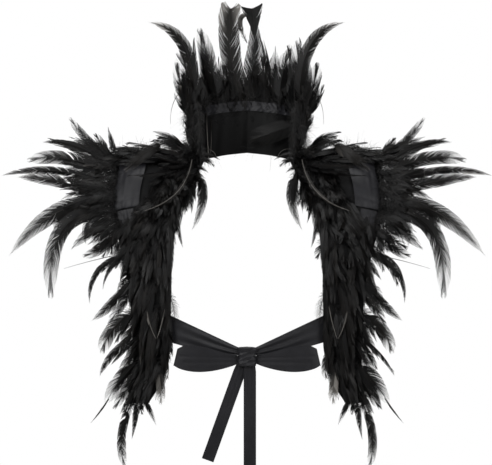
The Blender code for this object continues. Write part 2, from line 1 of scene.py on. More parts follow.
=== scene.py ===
import math
import bpy
import numpy as np
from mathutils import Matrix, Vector


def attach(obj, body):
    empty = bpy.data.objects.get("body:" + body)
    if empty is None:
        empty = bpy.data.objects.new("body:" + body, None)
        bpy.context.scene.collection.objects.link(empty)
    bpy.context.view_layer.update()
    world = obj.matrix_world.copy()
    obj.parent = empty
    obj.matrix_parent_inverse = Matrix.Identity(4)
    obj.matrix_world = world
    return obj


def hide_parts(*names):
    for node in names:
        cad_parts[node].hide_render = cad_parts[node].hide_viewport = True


# A black feather cape, dressed: satin collar and ribbons, cotton yoke, and fringes of dyed feathers.
# Metres, +Z up, the front faces -Y, the wearer's left is +X.
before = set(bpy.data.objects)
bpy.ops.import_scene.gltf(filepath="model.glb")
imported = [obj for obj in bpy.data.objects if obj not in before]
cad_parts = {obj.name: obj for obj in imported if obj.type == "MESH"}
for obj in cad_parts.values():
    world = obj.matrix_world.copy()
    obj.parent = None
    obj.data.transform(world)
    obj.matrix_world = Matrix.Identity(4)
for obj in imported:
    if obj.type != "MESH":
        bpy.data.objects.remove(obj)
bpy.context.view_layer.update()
frontWay = np.array((0.0, -1.0, 0.0))


# Materials
def hexColour(code):
    # an sRGB hex colour as the linear one that the shaders take
    parts = [int(code[i:i + 2], 16) / 255 for i in (1, 3, 5)]
    return (*[p / 12.92 if p <= 0.04045 else ((p + 0.055) / 1.055) ** 2.4 for p in parts], 1.0)


def addNode(tree, kind, settings=None, links=None):
    # a key that names a socket sets the socket, any other sets a property of the node
    node = tree.nodes.new(kind)
    for key, value in (settings or {}).items():
        if isinstance(key, int) or key in node.inputs:
            node.inputs[key].default_value = value
        else:
            setattr(node, key, value)
    for key, source in (links or {}).items():
        tree.links.new(source, node.inputs[key])
    return node


def addBands(tree, uv, axis, pitch, distortion, **more):
    # threads, ribs or barbules: even lines at the pitch of the weave
    return addNode(tree, "ShaderNodeTexWave", {
        "bands_direction": axis, "Scale": 1 / pitch / math.tau, "Distortion": distortion, **more,
    }, {"Vector": uv.outputs["UV"]})


def addRelief(tree, shader, height, strength, distance):
    relief = addNode(tree, "ShaderNodeBump", {"Strength": strength, "Distance": distance}, {"Height": height})
    tree.links.new(relief.outputs["Normal"], shader.inputs["Normal"])


def addTint(tree, shader, uv, finish, scale, detail, spread):
    # the dye is clouded a little, between the finish's shade and its base
    cloud = addNode(tree, "ShaderNodeTexNoise", {"Scale": scale, "Detail": detail},
                    {"Vector": uv.outputs["UV"]})
    tint = addNode(tree, "ShaderNodeValToRGB", links={"Fac": cloud.outputs["Fac"]})
    ramp = tint.color_ramp.elements
    ramp[0].position, ramp[0].color = 0.5 - spread, hexColour(finish["shade"])
    ramp[1].position, ramp[1].color = 0.5 + spread, hexColour(finish["base"])
    tree.links.new(tint.outputs["Color"], shader.inputs["Base Color"])


def startMaterial(name, shaderSettings):
    material = bpy.data.materials.new(name)
    material.use_nodes = True
    shader = material.node_tree.nodes["Principled BSDF"]
    for socket, value in shaderSettings.items():
        shader.inputs[socket].default_value = value
    return material, material.node_tree, shader


# Goose and coque feathers, vat dyed black. Keratin takes a soft sheen along the barbs, the dye is weak
# at worn tips, which go brown, and the thinnest vanes are nearly undyed and look grey against the light:
# their light grey is partly their own colour and partly painted light shining through them.
featherFinish = {
    "dyed": "#040405",
    "worn": "#1b1815",
    "bareAndBacklit": "#b3afa9",
    "roughness": 0.42,
    "barbulePitch": 0.0005,
    "barbuleRelief": 0.35,
}


def dyedFeather():
    finish = featherFinish
    material, tree, shader = startMaterial("dyedCoqueFeather", {
        "Roughness": finish["roughness"], "IOR": 1.54, "Specular IOR Level": 0.24,
    })
    tone = addNode(tree, "ShaderNodeAttribute", {"attribute_name": "tone"})
    dyeAndBacklight = addNode(tree, "ShaderNodeValToRGB", links={"Fac": tone.outputs["Fac"]})
    ramp = dyeAndBacklight.color_ramp
    ramp.elements[0].color = hexColour(finish["dyed"])
    # the top of the tone scale is a light grey: partly the thin vanes' own undyed colour, partly painted light
    # shining through them
    ramp.elements[1].color = hexColour(finish["bareAndBacklit"])
    ramp.elements.new(0.45).color = hexColour(finish["worn"])
    tree.links.new(dyeAndBacklight.outputs["Color"], shader.inputs["Base Color"])
    # barbules: fine lines across each barb
    uv = addNode(tree, "ShaderNodeUVMap", {"uv_map": "weave"})
    lines = addBands(tree, uv, "X", finish["barbulePitch"], 1.5)
    addRelief(tree, shader, lines.outputs["Fac"], finish["barbuleRelief"], 0.0002)
    return material


# Polyester satin ribbon, woven with long floats: a smooth bright face that gleams in bands along its
# folds, faint ribs across it, and a firmer woven edge, which is not drawn. Threads of 0.15 mm are drawn as 0.6
# mm ribs.
ribbonFinish = {"base": "#29292d", "shade": "#212124", "roughness": 0.44, "ribPitch": 0.0006, "ribRelief": 0.22}


def satinRibbon():
    finish = ribbonFinish
    material, tree, shader = startMaterial("blackSatinRibbon", {
        "Roughness": finish["roughness"], "IOR": 1.57, "Specular IOR Level": 0.26, "Anisotropic": 0.55,
    })
    uv = addNode(tree, "ShaderNodeUVMap", {"uv_map": "weave"})
    addTint(tree, shader, uv, finish, 38.0, 3.0, 0.2)
    ribs = addBands(tree, uv, "Y", finish["ribPitch"], 0.6, Detail=1.0)
    addRelief(tree, shader, ribs.outputs["Fac"], finish["ribRelief"], 0.0003)
    tangent = addNode(tree, "ShaderNodeTangent", {"direction_type": "UV_MAP", "uv_map": "weave"})
    tree.links.new(tangent.outputs["Tangent"], shader.inputs["Tangent"])
    return material


# Collar satin with a crisp interlining, and the cotton of the yoke and the tapes. Both are plain weaves
# to the eye: the satin has a soft broad gleam, the cotton scatters and stays matte with a little lint.
wovenFinishes = {
    # the collar satin's base and shade are darker than the satin's own black: painted shade, for the shadow
    # that the feathers cast on the collar
    "duchesseSatinWithPaintedShade": {"base": "#060607", "shade": "#040404", "roughness": 0.55, "specular": 0.18,
                            "thread": 0.0005, "relief": 0.25, "sheen": 0.01},
    "blackCottonSateen": {"base": "#0b0b0c", "shade": "#070708", "roughness": 0.82, "specular": 0.3,
                          "thread": 0.0008, "relief": 0.5, "sheen": 0.02},
}


def wovenCloth(name):
    finish = wovenFinishes[name]
    material, tree, shader = startMaterial(name, {
        "Roughness": finish["roughness"], "IOR": 1.5, "Specular IOR Level": finish["specular"],
        "Sheen Weight": finish["sheen"], "Sheen Roughness": 0.5,
    })
    uv = addNode(tree, "ShaderNodeUVMap", {"uv_map": "weave"})
    addTint(tree, shader, uv, finish, 22.0, 4.0, 0.18)
    warp, weft = (addBands(tree, uv, axis, finish["thread"], 0.8) for axis in "XY")
    cross = addNode(tree, "ShaderNodeMath", {"operation": "MULTIPLY"},
                    {0: warp.outputs["Fac"], 1: weft.outputs["Fac"]})
    addRelief(tree, shader, cross.outputs["Value"], finish["relief"], 0.0003)
    return material


feather = dyedFeather()
satin = satinRibbon()
shadedCollarSatin = wovenCloth("duchesseSatinWithPaintedShade")
cotton = wovenCloth("blackCottonSateen")
print("materials made")


# The cut of the cloth, in the garment's own places: (section, across) on a side, (around, up) on the collar
def unit(v):
    return v / np.maximum(np.linalg.norm(v, axis=-1, keepdims=True), 1e-12)


def smoothRow(rows, at):
    # the row at a place between rows, on a smooth curve through all of them
    rows = np.asarray(rows, float)
    at = np.clip(np.asarray(at, float), 0, len(rows) - 1)
    k = np.minimum(at.astype(int), len(rows) - 2)
    f = (at - k)[..., None]
    before, here = rows[np.maximum(k - 1, 0)], rows[k]
    there, after = rows[k + 1], rows[np.minimum(k + 2, len(rows) - 1)]
    bend = before - 2.5 * here + 2 * there - 0.5 * after
    swing = 1.5 * here - 1.5 * there + 0.5 * after - 0.5 * before
    return here + 0.5 * f * (there - before) + f * f * bend + f ** 3 * swing


cut = {
    "neckLine": ((0.000, 0.078, 0.020), (0.036, 0.072, 0.016), (0.066, 0.048, 0.010),
                 (0.079, 0.010, 0.010), (0.078, -0.016, 0.004), (0.073, -0.036, -0.008)),
    "neckBack": 0.40,      # share of the neckline where the yoke starts
    "neckRidge": 0.62,     # and where the top of the shoulder meets it
    "yokeSeam": 4.45,      # section of the seam between yoke and front
    "collarBack": 0.083,
    "collarFront": 0.086,
    "collarFlare": 0.011,
    "collarCorner": 0.16,
    "ribbonWidth": 0.038,
}


def neckLine(share):
    return smoothRow(cut["neckLine"], np.asarray(share, float) * (len(cut["neckLine"]) - 1))


# each row: inner edge, outer edge, and how far the middle bows out, from the back hem to the front hem
sections = np.array([
    (0.092, 0.074, -0.034, 0.176, 0.056, -0.050, 0.005),
    (*neckLine(cut["neckBack"]), 0.190, 0.038, -0.014, 0.008),
    (*neckLine(cut["neckRidge"]), 0.203, 0.000, 0.006, 0.009),
    (*neckLine(1.0), 0.211, -0.040, -0.022, 0.010),
    (0.094, -0.066, -0.048, 0.212, -0.066, -0.062, 0.008),
    (0.110, -0.090, -0.100, 0.199, -0.084, -0.113, 0.006),
    (0.116, -0.106, -0.166, 0.184, -0.098, -0.173, 0.004),
    (0.117, -0.103, -0.232, 0.178, -0.097, -0.236, 0.003),
    (0.118, -0.097, -0.286, 0.176, -0.092, -0.286, 0.003),
    (0.131, -0.093, -0.332, 0.178, -0.089, -0.332, 0.002),
    (0.152, -0.093, -0.368, 0.182, -0.090, -0.366, 0.002),
])


def sideFlat(section, across):
    row = smoothRow(sections, section)
    inner, outer = row[..., :3], row[..., 3:6]
    back, ridge = cut["neckBack"], cut["neckRidge"]
    share = np.where(section <= 2, back + (ridge - back) * (section - 1), ridge + (1 - ridge) * (section - 2))
    sewn = ((section >= 1) & (section <= 3))[..., None]
    inner = np.where(sewn, neckLine(share), inner)
    return inner + (outer - inner) * across[..., None], row[..., 6:]


def sideCloth(section, across):
    section, across = np.broadcast_arrays(np.asarray(section, float), np.asarray(across, float))
    here, bow = sideFlat(section, across)
    last = len(sections) - 1
    before, after = np.maximum(section - 0.02, 0), np.minimum(section + 0.02, last)
    along = sideFlat(after, across)[0] - sideFlat(before, across)[0]
    over = sideFlat(section, across + 0.02)[0] - sideFlat(section, across - 0.02)[0]
    normal = unit(np.cross(along, over))
    return here + normal * bow * (4 * across * (1 - across))[..., None], normal


def collarCloth(around, up):
    around, up = np.broadcast_arrays(np.asarray(around, float), np.asarray(up, float))
    share = np.abs(around)
    none = np.zeros_like(share)
    base = neckLine(share)
    along = neckLine(np.minimum(share + 0.02, 1)) - neckLine(np.maximum(share - 0.02, 0))
    out = unit(np.stack([-along[..., 1], along[..., 0], none], -1))
    outward = np.stack([base[..., 0], base[..., 1] + 0.02, none], -1)
    out = out * np.where(np.sum(out * outward, -1) < 0, -1, 1)[..., None]
    corner = np.clip((share - 1 + cut["collarCorner"]) / cut["collarCorner"], 0, 1)
    height = cut["collarBack"] + (cut["collarFront"] - cut["collarBack"]) * share ** 2
    height = height - 0.018 * (1 - np.sqrt(1 - corner ** 2))
    flare = cut["collarFlare"] * np.maximum(up, 0) ** 1.4 * (1 - 0.45 * share)
    point = base + out * (flare - 0.0003)[..., None] + np.stack([none, none, height * up + 0.0004], -1)
    normal = unit(out + np.stack([none, none, -flare / height], -1))
    mirror = np.stack([np.where(around < 0, -1, 1), none + 1, none + 1], -1)
    return point * mirror, normal * mirror


# Meshes
def makeMesh(name, points, quads, uv, materials, tone=None, slots=None, sharp=None):
    mesh = bpy.data.meshes.new(name)
    mesh.vertices.add(len(points))
    mesh.vertices.foreach_set("co", points.astype(np.float32).ravel())
    mesh.loops.add(quads.size)
    mesh.loops.foreach_set("vertex_index", quads.astype(np.int32).ravel())
    mesh.polygons.add(len(quads))
    mesh.polygons.foreach_set("loop_start", np.arange(0, quads.size, 4, dtype=np.int32))
    for material in materials:
        mesh.materials.append(material)
    if slots is not None:
        mesh.polygons.foreach_set("material_index", slots.astype(np.int32))
    mesh.update(calc_edges=True)
    mesh.shade_smooth()
    mesh.uv_layers.new(name="weave").data.foreach_set("uv", uv[quads.ravel()].astype(np.float32).ravel())
    if tone is not None:
        mesh.attributes.new("tone", "FLOAT", "POINT").data.foreach_set("value", tone.astype(np.float32))
    if sharp:
        mesh.set_sharp_from_angle(angle=math.radians(sharp))
    obj = bpy.data.objects.new(name, mesh)
    bpy.context.scene.collection.objects.link(obj)
    return obj


def ringQuads(rings, around):
    # the faces of a tube made of rings of points
    index = np.arange(rings * around).reshape(rings, around)
    onward = np.roll(index, -1, axis=1)
    return np.stack([index[:-1], onward[:-1], onward[1:], index[1:]], -1).reshape(-1, 4)


def ontoFrame(obj, node):
    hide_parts(node)
    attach(obj, "root")


def pressFolds(points, normals, surface, folds):
    # each fold is a soft trough from one place of the cloth to another; a depth below 0 makes a ridge
    moved = points.copy()
    for start, end, depth, width in folds:
        a, b = surface(*start)[0], surface(*end)[0]
        t = np.clip(((points - a) @ (b - a)) / ((b - a) @ (b - a)), 0, 1)
        away = np.linalg.norm(points - (a + t[..., None] * (b - a)), axis=-1)
        shape = np.exp(-(away / (width / 1000)) ** 2) * np.sin(math.pi * (0.15 + 0.7 * t))
        moved -= normals * (depth / 1000 * shape)[..., None]
    return moved


def clothSheet(name, surface, firsts, seconds, cloth, mirrored):
    # a closed thin wall of cloth: outer face, inner face and the edge between them
    a, b = np.meshgrid(np.linspace(*firsts), np.linspace(*seconds), indexing="ij")
    flatPoints, normals = surface(a, b)
    outer = pressFolds(flatPoints, normals, surface, cloth.get("folds", ()))
    inner = outer - normals * cloth["wall"]
    rows, columns = a.shape
    index = np.arange(rows * columns).reshape(rows, columns)
    quads = np.stack([index[:-1, :-1], index[:-1, 1:], index[1:, 1:], index[1:, :-1]], -1).reshape(-1, 4)
    rim = np.concatenate([index[0, :-1], index[:-1, -1], index[-1, :0:-1], index[:0:-1, 0]])
    onward = np.roll(rim, -1)
    total = rows * columns
    edge = np.stack([onward, rim, rim + total, onward + total], -1)
    quads = np.concatenate([quads, quads[:, ::-1] + total, edge])
    p = outer.reshape(-1, 3)
    facing = np.cross(p[quads[0][1]] - p[quads[0][0]], p[quads[0][3]] - p[quads[0][0]]) @ normals[0, 0]
    if facing < 0:
        quads = quads[:, ::-1]
    along = np.linalg.norm(np.diff(outer, axis=0), axis=-1).mean(1).cumsum()
    across = np.linalg.norm(np.diff(outer, axis=1), axis=-1).mean(0).cumsum()
    v, u = np.meshgrid(np.append(0, along), np.append(0, across), indexing="ij")
    uv = np.stack([u, v], -1).reshape(-1, 2)
    points = np.concatenate([p, inner.reshape(-1, 3)])
    if mirrored:
        points = points * (-1, 1, 1)
        quads = quads[:, ::-1]
    obj = makeMesh(name, points, quads, np.concatenate([uv, uv]), [cloth["material"]], sharp=48)
    area = sum(f.area for f in obj.data.polygons) / 2
    print(f"{name}: {along[-1]:.3f} x {across[-1]:.3f} m, area {area:.4f}")
    return obj


def dressSheet(node, surface, firsts, seconds, cloth, mirrored=False):
    # firsts and seconds are the first and last place of the cloth each way, and how many rows between them
    obj = clothSheet(f"dressed_{node}", surface, firsts, seconds, cloth, mirrored)
    ontoFrame(obj, node)


# Collar and yoke
collarCut = {
    "material": shadedCollarSatin, "slot": "collar_satin", "wall": 0.0022,
    "flat": (0.086, 0.361), "held": "stretched",
    # shallow buckles where the stand turns round the neck, and a dent at each front corner
    "folds": (
        ((-0.80, 0.02), (-0.72, 0.90), 0.9, 6), ((-0.52, 0.05), (-0.58, 0.98), 0.7, 5),
        ((-0.30, 0.00), (-0.24, 0.75), 0.8, 6), ((-0.06, 0.10), (-0.02, 0.95), 0.6, 5),
        ((0.16, 0.02), (0.20, 0.80), 0.8, 6), ((0.40, 0.05), (0.35, 0.97), 0.7, 5),
        ((0.62, 0.00), (0.68, 0.85), 0.9, 6), ((0.86, 0.10), (0.80, 0.92), 0.7, 5),
        ((-0.97, 0.30), (-0.86, 0.55), 0.8, 7), ((0.97, 0.30), (0.86, 0.55), 0.8, 7),
        ((-1.00, 0.955), (0.0, 0.955), 0.5, 2), ((0.0, 0.955), (1.00, 0.955), 0.5, 2),
    ),
}
dressSheet("collar", collarCloth, (-1, 1, 181), (0, 1, 37), collarCut)

gatheredRibbon = {
    "material": satin, "slot": "ribbon_satin", "wall": 0.0007, "flat": (0.014, 0.40), "held": "gathered",
    "gathers": 18, "reach": 0.93, "low": 0.805, "high": 0.985,
}


def gatheredCloth(around, up):
    # the ribbon is drawn up on a thread along its middle, so its two edges flute out more than its middle
    point, normal = collarCloth(around, up)
    edge = np.abs(np.asarray(up) - 0.895) / 0.09
    turns = np.asarray(around) / gatheredRibbon["reach"] * math.pi * gatheredRibbon["gathers"]
    uneven = 0.75 + 0.25 * np.sin(turns * 0.31 + 1.0)
    wave = 0.5 + 0.5 * np.cos(turns + 0.5 * np.sin(turns * 0.23) * edge)
    small = 0.18 * np.sin(turns * 2.7 + 6 * edge)
    stand = 0.0027 + (0.0005 + 0.0013 * edge ** 0.7) * (wave * uneven + small)
    return point - normal * stand[..., None], -normal


dressSheet("collar_ribbon", gatheredCloth, (-gatheredRibbon["reach"], gatheredRibbon["reach"], 361),
           (gatheredRibbon["low"], gatheredRibbon["high"], 11), gatheredRibbon)

yokeCut = {
    "material": cotton, "slot": "base_cloth", "wall": 0.0014, "flat": (0.135, 0.235), "held": "draped",
    # drags from the neck seam towards the ribbon, and the slack that rolls over the front of the shoulder
    "folds": (
        ((1.2, 0.10), (1.9, 0.80), 1.2, 6), ((2.0, 0.05), (2.3, 0.70), 1.4, 7),
        ((2.5, 0.04), (2.9, 0.62), -1.0, 6), ((2.8, 0.04), (3.5, 0.55), 1.6, 6),
        ((3.1, 0.05), (4.1, 0.48), -1.2, 6), ((3.3, 0.04), (4.4, 0.34), 1.6, 5),
        ((3.7, 0.60), (4.4, 0.52), 1.4, 5), ((3.8, 0.98), (4.4, 0.82), 1.6, 6),
        ((0.2, 0.30), (1.0, 0.42), 1.4, 7), ((0.2, 0.70), (1.1, 0.66), 1.2, 6),
        ((0.1, 0.50), (1.4, 0.55), -0.9, 6),
    ),
}
frontCut = {
    "material": cotton, "slot": "base_cloth", "wall": 0.0014, "flat": (0.067, 0.302), "held": "hung",
    # long hanging folds, and short drags where the tie pulls at the inner edge
    "folds": (
        ((4.6, 0.22), (7.2, 0.30), 1.6, 5), ((4.5, 0.55), (8.4, 0.52), 1.8, 6),
        ((4.6, 0.85), (7.8, 0.76), 1.4, 5), ((5.2, 0.38), (9.2, 0.40), -1.1, 6),
        ((5.6, 0.68), (9.6, 0.66), -1.0, 6), ((7.9, 0.20), (9.9, 0.30), 1.5, 5),
        ((7.5, 0.04), (7.0, 0.42), 1.3, 4), ((7.5, 0.04), (7.9, 0.46), 1.3, 4),
        ((8.0, 0.80), (9.9, 0.74), 1.4, 5),
    ),
}
seam = 0.0003 / 0.058    # half the seam's gap, as a share of the section that it lies in
for side in ("left", "right"):
    mirrored = side == "right"
    dressSheet(f"shoulder_{side}", sideCloth, (0.0, cut["yokeSeam"] - seam, 97), (0.003, 1, 41), yokeCut,
               mirrored)
    dressSheet(f"front_{side}", sideCloth, (cut["yokeSeam"] + seam, 10, 121), (0, 1, 29), frontCut,
               mirrored)

# Ribbons, all cut from one satin stock
ribbonStock = {"material": satin, "slot": "ribbon_satin", "wall": 0.0006}
shoulderRibbon = {
    **ribbonStock, "flat": (0.038, 0.155), "held": "draped",
    "first": 1.55, "last": 4.22, "puff": 0.0055, "ease": 1.12,
    "track": 0.725, "drift": 0.065,      # where its middle lies across the side, and how far it moves outwards
    # lengthwise folds, deepest where the ribbon is caught down at its front end
    "folds": (
        ((1.7, -0.45), (3.2, -0.35), 1.0, 3), ((1.7, 0.50), (3.0, 0.42), -0.8, 3),
        ((2.7, 0.05), (4.22, -0.10), 1.6, 3.4), ((3.0, 0.55), (4.22, 0.42), 1.7, 3.2),
        ((3.0, -0.60), (4.22, -0.55), 1.3, 3), ((3.3, 0.28), (4.22, 0.18), -1.0, 2.4),
        ((3.9, -0.9), (4.02, 0.9), 0.9, 3),
    ),
}


def puffedRibbon(section, across):
    ribbon = shoulderRibbon
    share = (np.asarray(section, float) - ribbon["first"]) / (ribbon["last"] - ribbon["first"])
    inner, outer = sideCloth(section, 0.0)[0], sideCloth(section, 1.0)[0]
    half = ribbon["ease"] * cut["ribbonWidth"] / 2 / np.linalg.norm(outer - inner, axis=-1)
    point, normal = sideCloth(section, ribbon["track"] + ribbon["drift"] * share + half * across)
    rise = np.sin(math.pi * np.clip(share, 0, 1)) ** 0.6 * (1 - 0.35 * np.asarray(across) ** 2)
    return point + normal * (0.0018 + ribbon["puff"] * rise)[..., None], normal


ribbonEnd = {
    **ribbonStock, "flat": (0.022, 0.045), "held": "folded",
    "folds": (
        ((4.27, -0.3), (4.95, -0.5), 0.8, 2.4), ((4.27, 0.4), (4.95, 0.5), 0.8, 2.4),
        ((4.30, 0.0), (4.9, 0.05), -0.6, 2),
    ),
}


def laidRibbon(section, across):
    point, normal = sideCloth(section, 0.80 + 0.115 * np.asarray(across))
    return point + normal * 0.0018, normal


knot = {"half": (0.0130, 0.0085, 0.0150), "centre": (0.0, -0.1180, -0.2950)}
knotSide = knot["half"][0] - 0.003    # the ties and the loops run 3 mm into the knot
tieRibbon = {
    **ribbonStock, "flat": (0.038, 0.120), "held": "stretched",
    "topEdge": (-0.2268, -0.2822), "reach": 0.129,
    "fullHeight": 1.14 * cut["ribbonWidth"], "pinchedHeight": 0.008,
    # pleats that run together into the knot
    "folds": (
        ((0.45, -0.35), (0.97, -0.25), 0.35, 4.0), ((0.50, 0.35), (0.98, 0.18), 0.40, 4.0),
        ((0.10, -0.75), (0.45, -0.55), 0.40, 5.0), ((0.60, -0.80), (0.97, -0.62), 0.30, 3.0),
    ),
}


def tieCloth(along, across):
    along, across = np.broadcast_arrays(np.asarray(along, float), np.asarray(across, float))
    ribbon = tieRibbon
    backY = float(sideCloth(7.45, 0.15)[0][1]) + 0.0070
    x = ribbon["reach"] + (knotSide - ribbon["reach"]) * along
    height = ribbon["fullHeight"] * (1 - along) ** 0.62 + ribbon["pinchedHeight"] * along
    middle = ribbon["topEdge"][0] + (ribbon["topEdge"][1] - ribbon["topEdge"][0]) * along - height / 2
    y = backY + (knot["centre"][1] - 0.001 - backY) * along ** 1.3
    y = y + 0.0012 * np.sin(math.pi * 2.5 * across + 0.6) * along ** 1.2
    points = np.stack([x, y, middle + height * across / 2], -1)
    return points, np.broadcast_to(frontWay, points.shape)


bowLoop = {
    **ribbonStock, "flat": (0.030, 0.210), "held": "folded", "area": 0.0057, "tip": 0.113,
    # heights of the upper edge, by share of the way out from the knot
    "upperEdge": ((0, 0.12, 0.5, 0.85, 1), (-0.2945, -0.2905, -0.2800, -0.2770, -0.2830)),
    "folds": (
        ((0.02, 0.30), (0.40, 0.45), 1.0, 2.4), ((0.04, 0.75), (0.36, 0.70), 0.9, 2.4),
        ((0.62, 0.4), (0.97, 0.5), 1.0, 2.4),
    ),
}


def loopCloth(turn, down):
    turn, down = np.broadcast_arrays(np.asarray(turn, float), np.asarray(down, float))
    sweep = math.tau * turn
    far = 0.5 - 0.5 * np.cos(sweep)
    x = knotSide + (bowLoop["tip"] - 0.006 * (1 - down) - knotSide) * far ** 0.8
    belly = 0.0055 * np.sin(sweep) * (0.35 + 0.65 * far)
    y = knot["centre"][1] + 0.004 - belly - 0.0022 * np.cos(math.pi * turn)
    top = np.interp(far, *bowLoop["upperEdge"])
    low = -0.3030 - 0.0140 * np.sin(math.pi * np.minimum(far, 0.98)) ** 0.55 - 0.0030 * far
    depth = (bowLoop["tip"] - knotSide) * 0.5
    outward = unit(np.stack([-0.0110 * np.cos(sweep), -np.sin(sweep) * depth, 0 * turn], -1))
    return np.stack([x, y, top + (low - top) * down], -1), outward


for side in ("left", "right"):
    mirrored = side == "right"
    dressSheet(f"shoulder_ribbon_{side}", puffedRibbon, (shoulderRibbon["first"], shoulderRibbon["last"], 91),
               (-1, 1, 33), shoulderRibbon, mirrored)
    dressSheet(f"shoulder_ribbon_end_{side}", laidRibbon, (4.27, 4.95, 33), (-1, 1, 21), ribbonEnd,
               mirrored)
    dressSheet(f"tie_{side}", tieCloth, (0, 1, 91), (-1, 1, 41), tieRibbon, mirrored)
    dressSheet(f"bow_loop_{side}", loopCloth, (0, 1, 121), (0, 1, 25), bowLoop, mirrored)

tails = {
    **ribbonStock, "wall": 0.0005, "flat": (0.038, 0.155), "held": "hung", "width": 0.019,
    # the top's place, then the bottom's
    "tail_left": ((0.0043, -0.1205), (0.0043, -0.1180, -0.4630)),
    "tail_right": ((-0.0075, -0.1160), (-0.0605, -0.1120, -0.4540)),
}
for name in ("tail_left", "tail_right"):
    (topX, topY), bottom = tails[name]
    top = np.array((topX, topY, knot["centre"][2] - knot["half"][2] + 0.003))
    down = unit(np.array(bottom) - top)
    over = unit(np.cross(down, (0, 1, 0)))

    def tailCloth(share, around, top=top, bottom=np.array(bottom), over=over):
        # the ribbon hangs folded in half lengthwise: the front layer, the fold, then the back layer
        share, around = np.broadcast_arrays(np.asarray(share, float), np.asarray(around, float))
        across = np.interp(around, (0, 0.48, 0.50, 0.52, 1), (-1, 0.985, 1, 0.985, -0.97))
        layer = np.interp(around, (0, 0.46, 0.50, 0.54, 1), (-1, -1, 0, 1, 1))
        gather = np.minimum(1.0, 0.86 + 2.0 * share)
        sway = 0.0012 * np.sin(2.2 * math.pi * share) + 0.0003 * np.sin(math.pi * 3 * across) * (1 - share) ** 2
        place = top + (bottom - top) * share[..., None]
        place = place + over * (tails["width"] / 2 * across * gather)[..., None]
        place[..., 1] += sway + 0.0010 * layer
        facing = unit(over * np.cos(layer * math.pi / 2)[..., None]
                      + np.array((0, 1, 0)) * np.sin(layer * math.pi / 2)[..., None])
        return place, facing

    dressSheet(name, tailCloth, (0, 1, 73), (0, 1, 49), tails)


def tieKnot():
    # the ribbon wraps the knot in two crossing passes: rolls and creases run slantwise over its face
    around, up = 72, 45
    angle, z = np.meshgrid(np.linspace(0, math.tau, around, endpoint=False), np.linspace(-1, 1, up))
    cosine, sine = np.cos(angle), np.sin(angle)
    size = (np.abs(cosine) ** 3.4 + np.abs(sine) ** 3.4) ** (-1 / 3.4)
    waist = 1.0 - 0.10 * (1 - np.abs(z)) - 0.12 * np.abs(z) ** 6
    closing = np.sqrt(np.clip(1.0004 - np.clip((np.abs(z) - 0.86) / 0.14, 0, 1) ** 2, 0, 1))
    front = np.clip(-sine, 0, 1)
    roll = 0.055 * np.cos(7.5 * z + 2.6 * cosine) + 0.035 * np.cos(15 * z - 5 * cosine + 1)
    bumps = 0.13 * np.exp(-((np.abs(cosine) - 0.75) / 0.25) ** 2 - ((z - 0.80) / 0.22) ** 2)
    radius = size * waist * closing * (1 + roll * (0.4 + 0.6 * front) + bumps)
    half, centre = np.array(knot["half"]) + (0.0022, 0.0012, 0.0006), knot["centre"]
    points = np.stack([half[0] * radius * cosine, half[1] * radius * sine, half[2] * z], -1) + centre
    uv = np.stack([angle * 0.012, z * 0.015], -1).reshape(-1, 2)
    obj = makeMesh("dressed_knot", points.reshape(-1, 3), ringQuads(up, around), uv, [satin])
    ontoFrame(obj, "knot")


tieKnot()
print("cloth and ribbons dressed")


# Feathers
# How every feather grows. Real barbs are 0.4 mm apart, too fine to show, so they are drawn coarser.
plume = {
    "barbSpacing": 0.0009,
    "rootAngle": 42, "tipAngle": 20,      # degrees between barb and shaft
    "clump": 14,                          # barbs that stay hooked together, on average
    "slant": 0.035, "converge": 0.10,      # how unevenly the clumps lie, which opens the splits in the vane
    "ragged": 0.08, "missing": 0.015,
    "camber": 0.10, "flutter": 0.030,
    "shaftRoot": 0.0008, "shaftTip": 0.00018,
}
tipForms = {
    # share of the half width along the feather, at the places below
    "point": (0.55, 0.78, 0.90, 0.96, 1.00, 0.86, 0.60, 0.36, 0.04),
    "round": (0.55, 0.74, 0.86, 0.95, 1.00, 1.00, 0.95, 0.80, 0.34),
    "blunt": (0.55, 0.70, 0.80, 0.88, 0.94, 0.98, 1.00, 1.00, 0.92),
    "fork": (0.55, 0.74, 0.90, 1.00, 0.96, 0.64, 0.36, 0.72, 1.00),
    "wisp": (0.10, 0.50, 0.85, 1.00, 0.85, 0.60, 0.36, 0.18, 0.03),
}
tipPlaces = (0, 0.08, 0.2, 0.35, 0.52, 0.7, 0.84, 0.93, 1)
pathShares = np.linspace(0, 1, 31)
clothOf = {"side": sideCloth, "collar": collarCloth}


def along(values, share):
    # the value at any share of a feather's path
    at = np.clip(share, 0, 1) * (len(values) - 1)
    k = np.minimum(at.astype(int), len(values) - 2)
    f = (at - k)[..., None]
    return values[k] * (1 - f) + values[k + 1] * f


def gridQuads(count, steps):
    # the faces of count separate strips, each steps + 1 pairs of points long
    index = np.arange(count * (steps + 1) * 2).reshape(count, steps + 1, 2)
    return np.stack([index[:, :-1, 0], index[:, :-1, 1], index[:, 1:, 1], index[:, 1:, 0]], -1).reshape(-1, 4)


def growShaft(path, over, up, kind):
    rings = 12
    share = np.linspace(0, 1, rings)
    half = (plume["shaftRoot"] + (plume["shaftTip"] - plume["shaftRoot"]) * share ** 0.7) * kind.get("shaft", 1)
    centre, o, u = along(path, share), along(over, share), along(up, share)
    ways = np.stack([-o, u * 0.8, o, -u * 0.5], 1)
    points = centre[:, None] + ways * half[:, None, None]
    tone = np.repeat(kind["tone"] + kind.get("shaftTone", 0.16) * (0.4 + 0.6 * share), 4)
    uv = np.stack([np.repeat(share, 4) * 0.1, np.tile((0, 1, 2, 3), rings) * 0.001], -1)
    return {"points": points.reshape(-1, 3), "quads": ringQuads(rings, 4), "uv": uv, "tone": tone, "slot": 0}


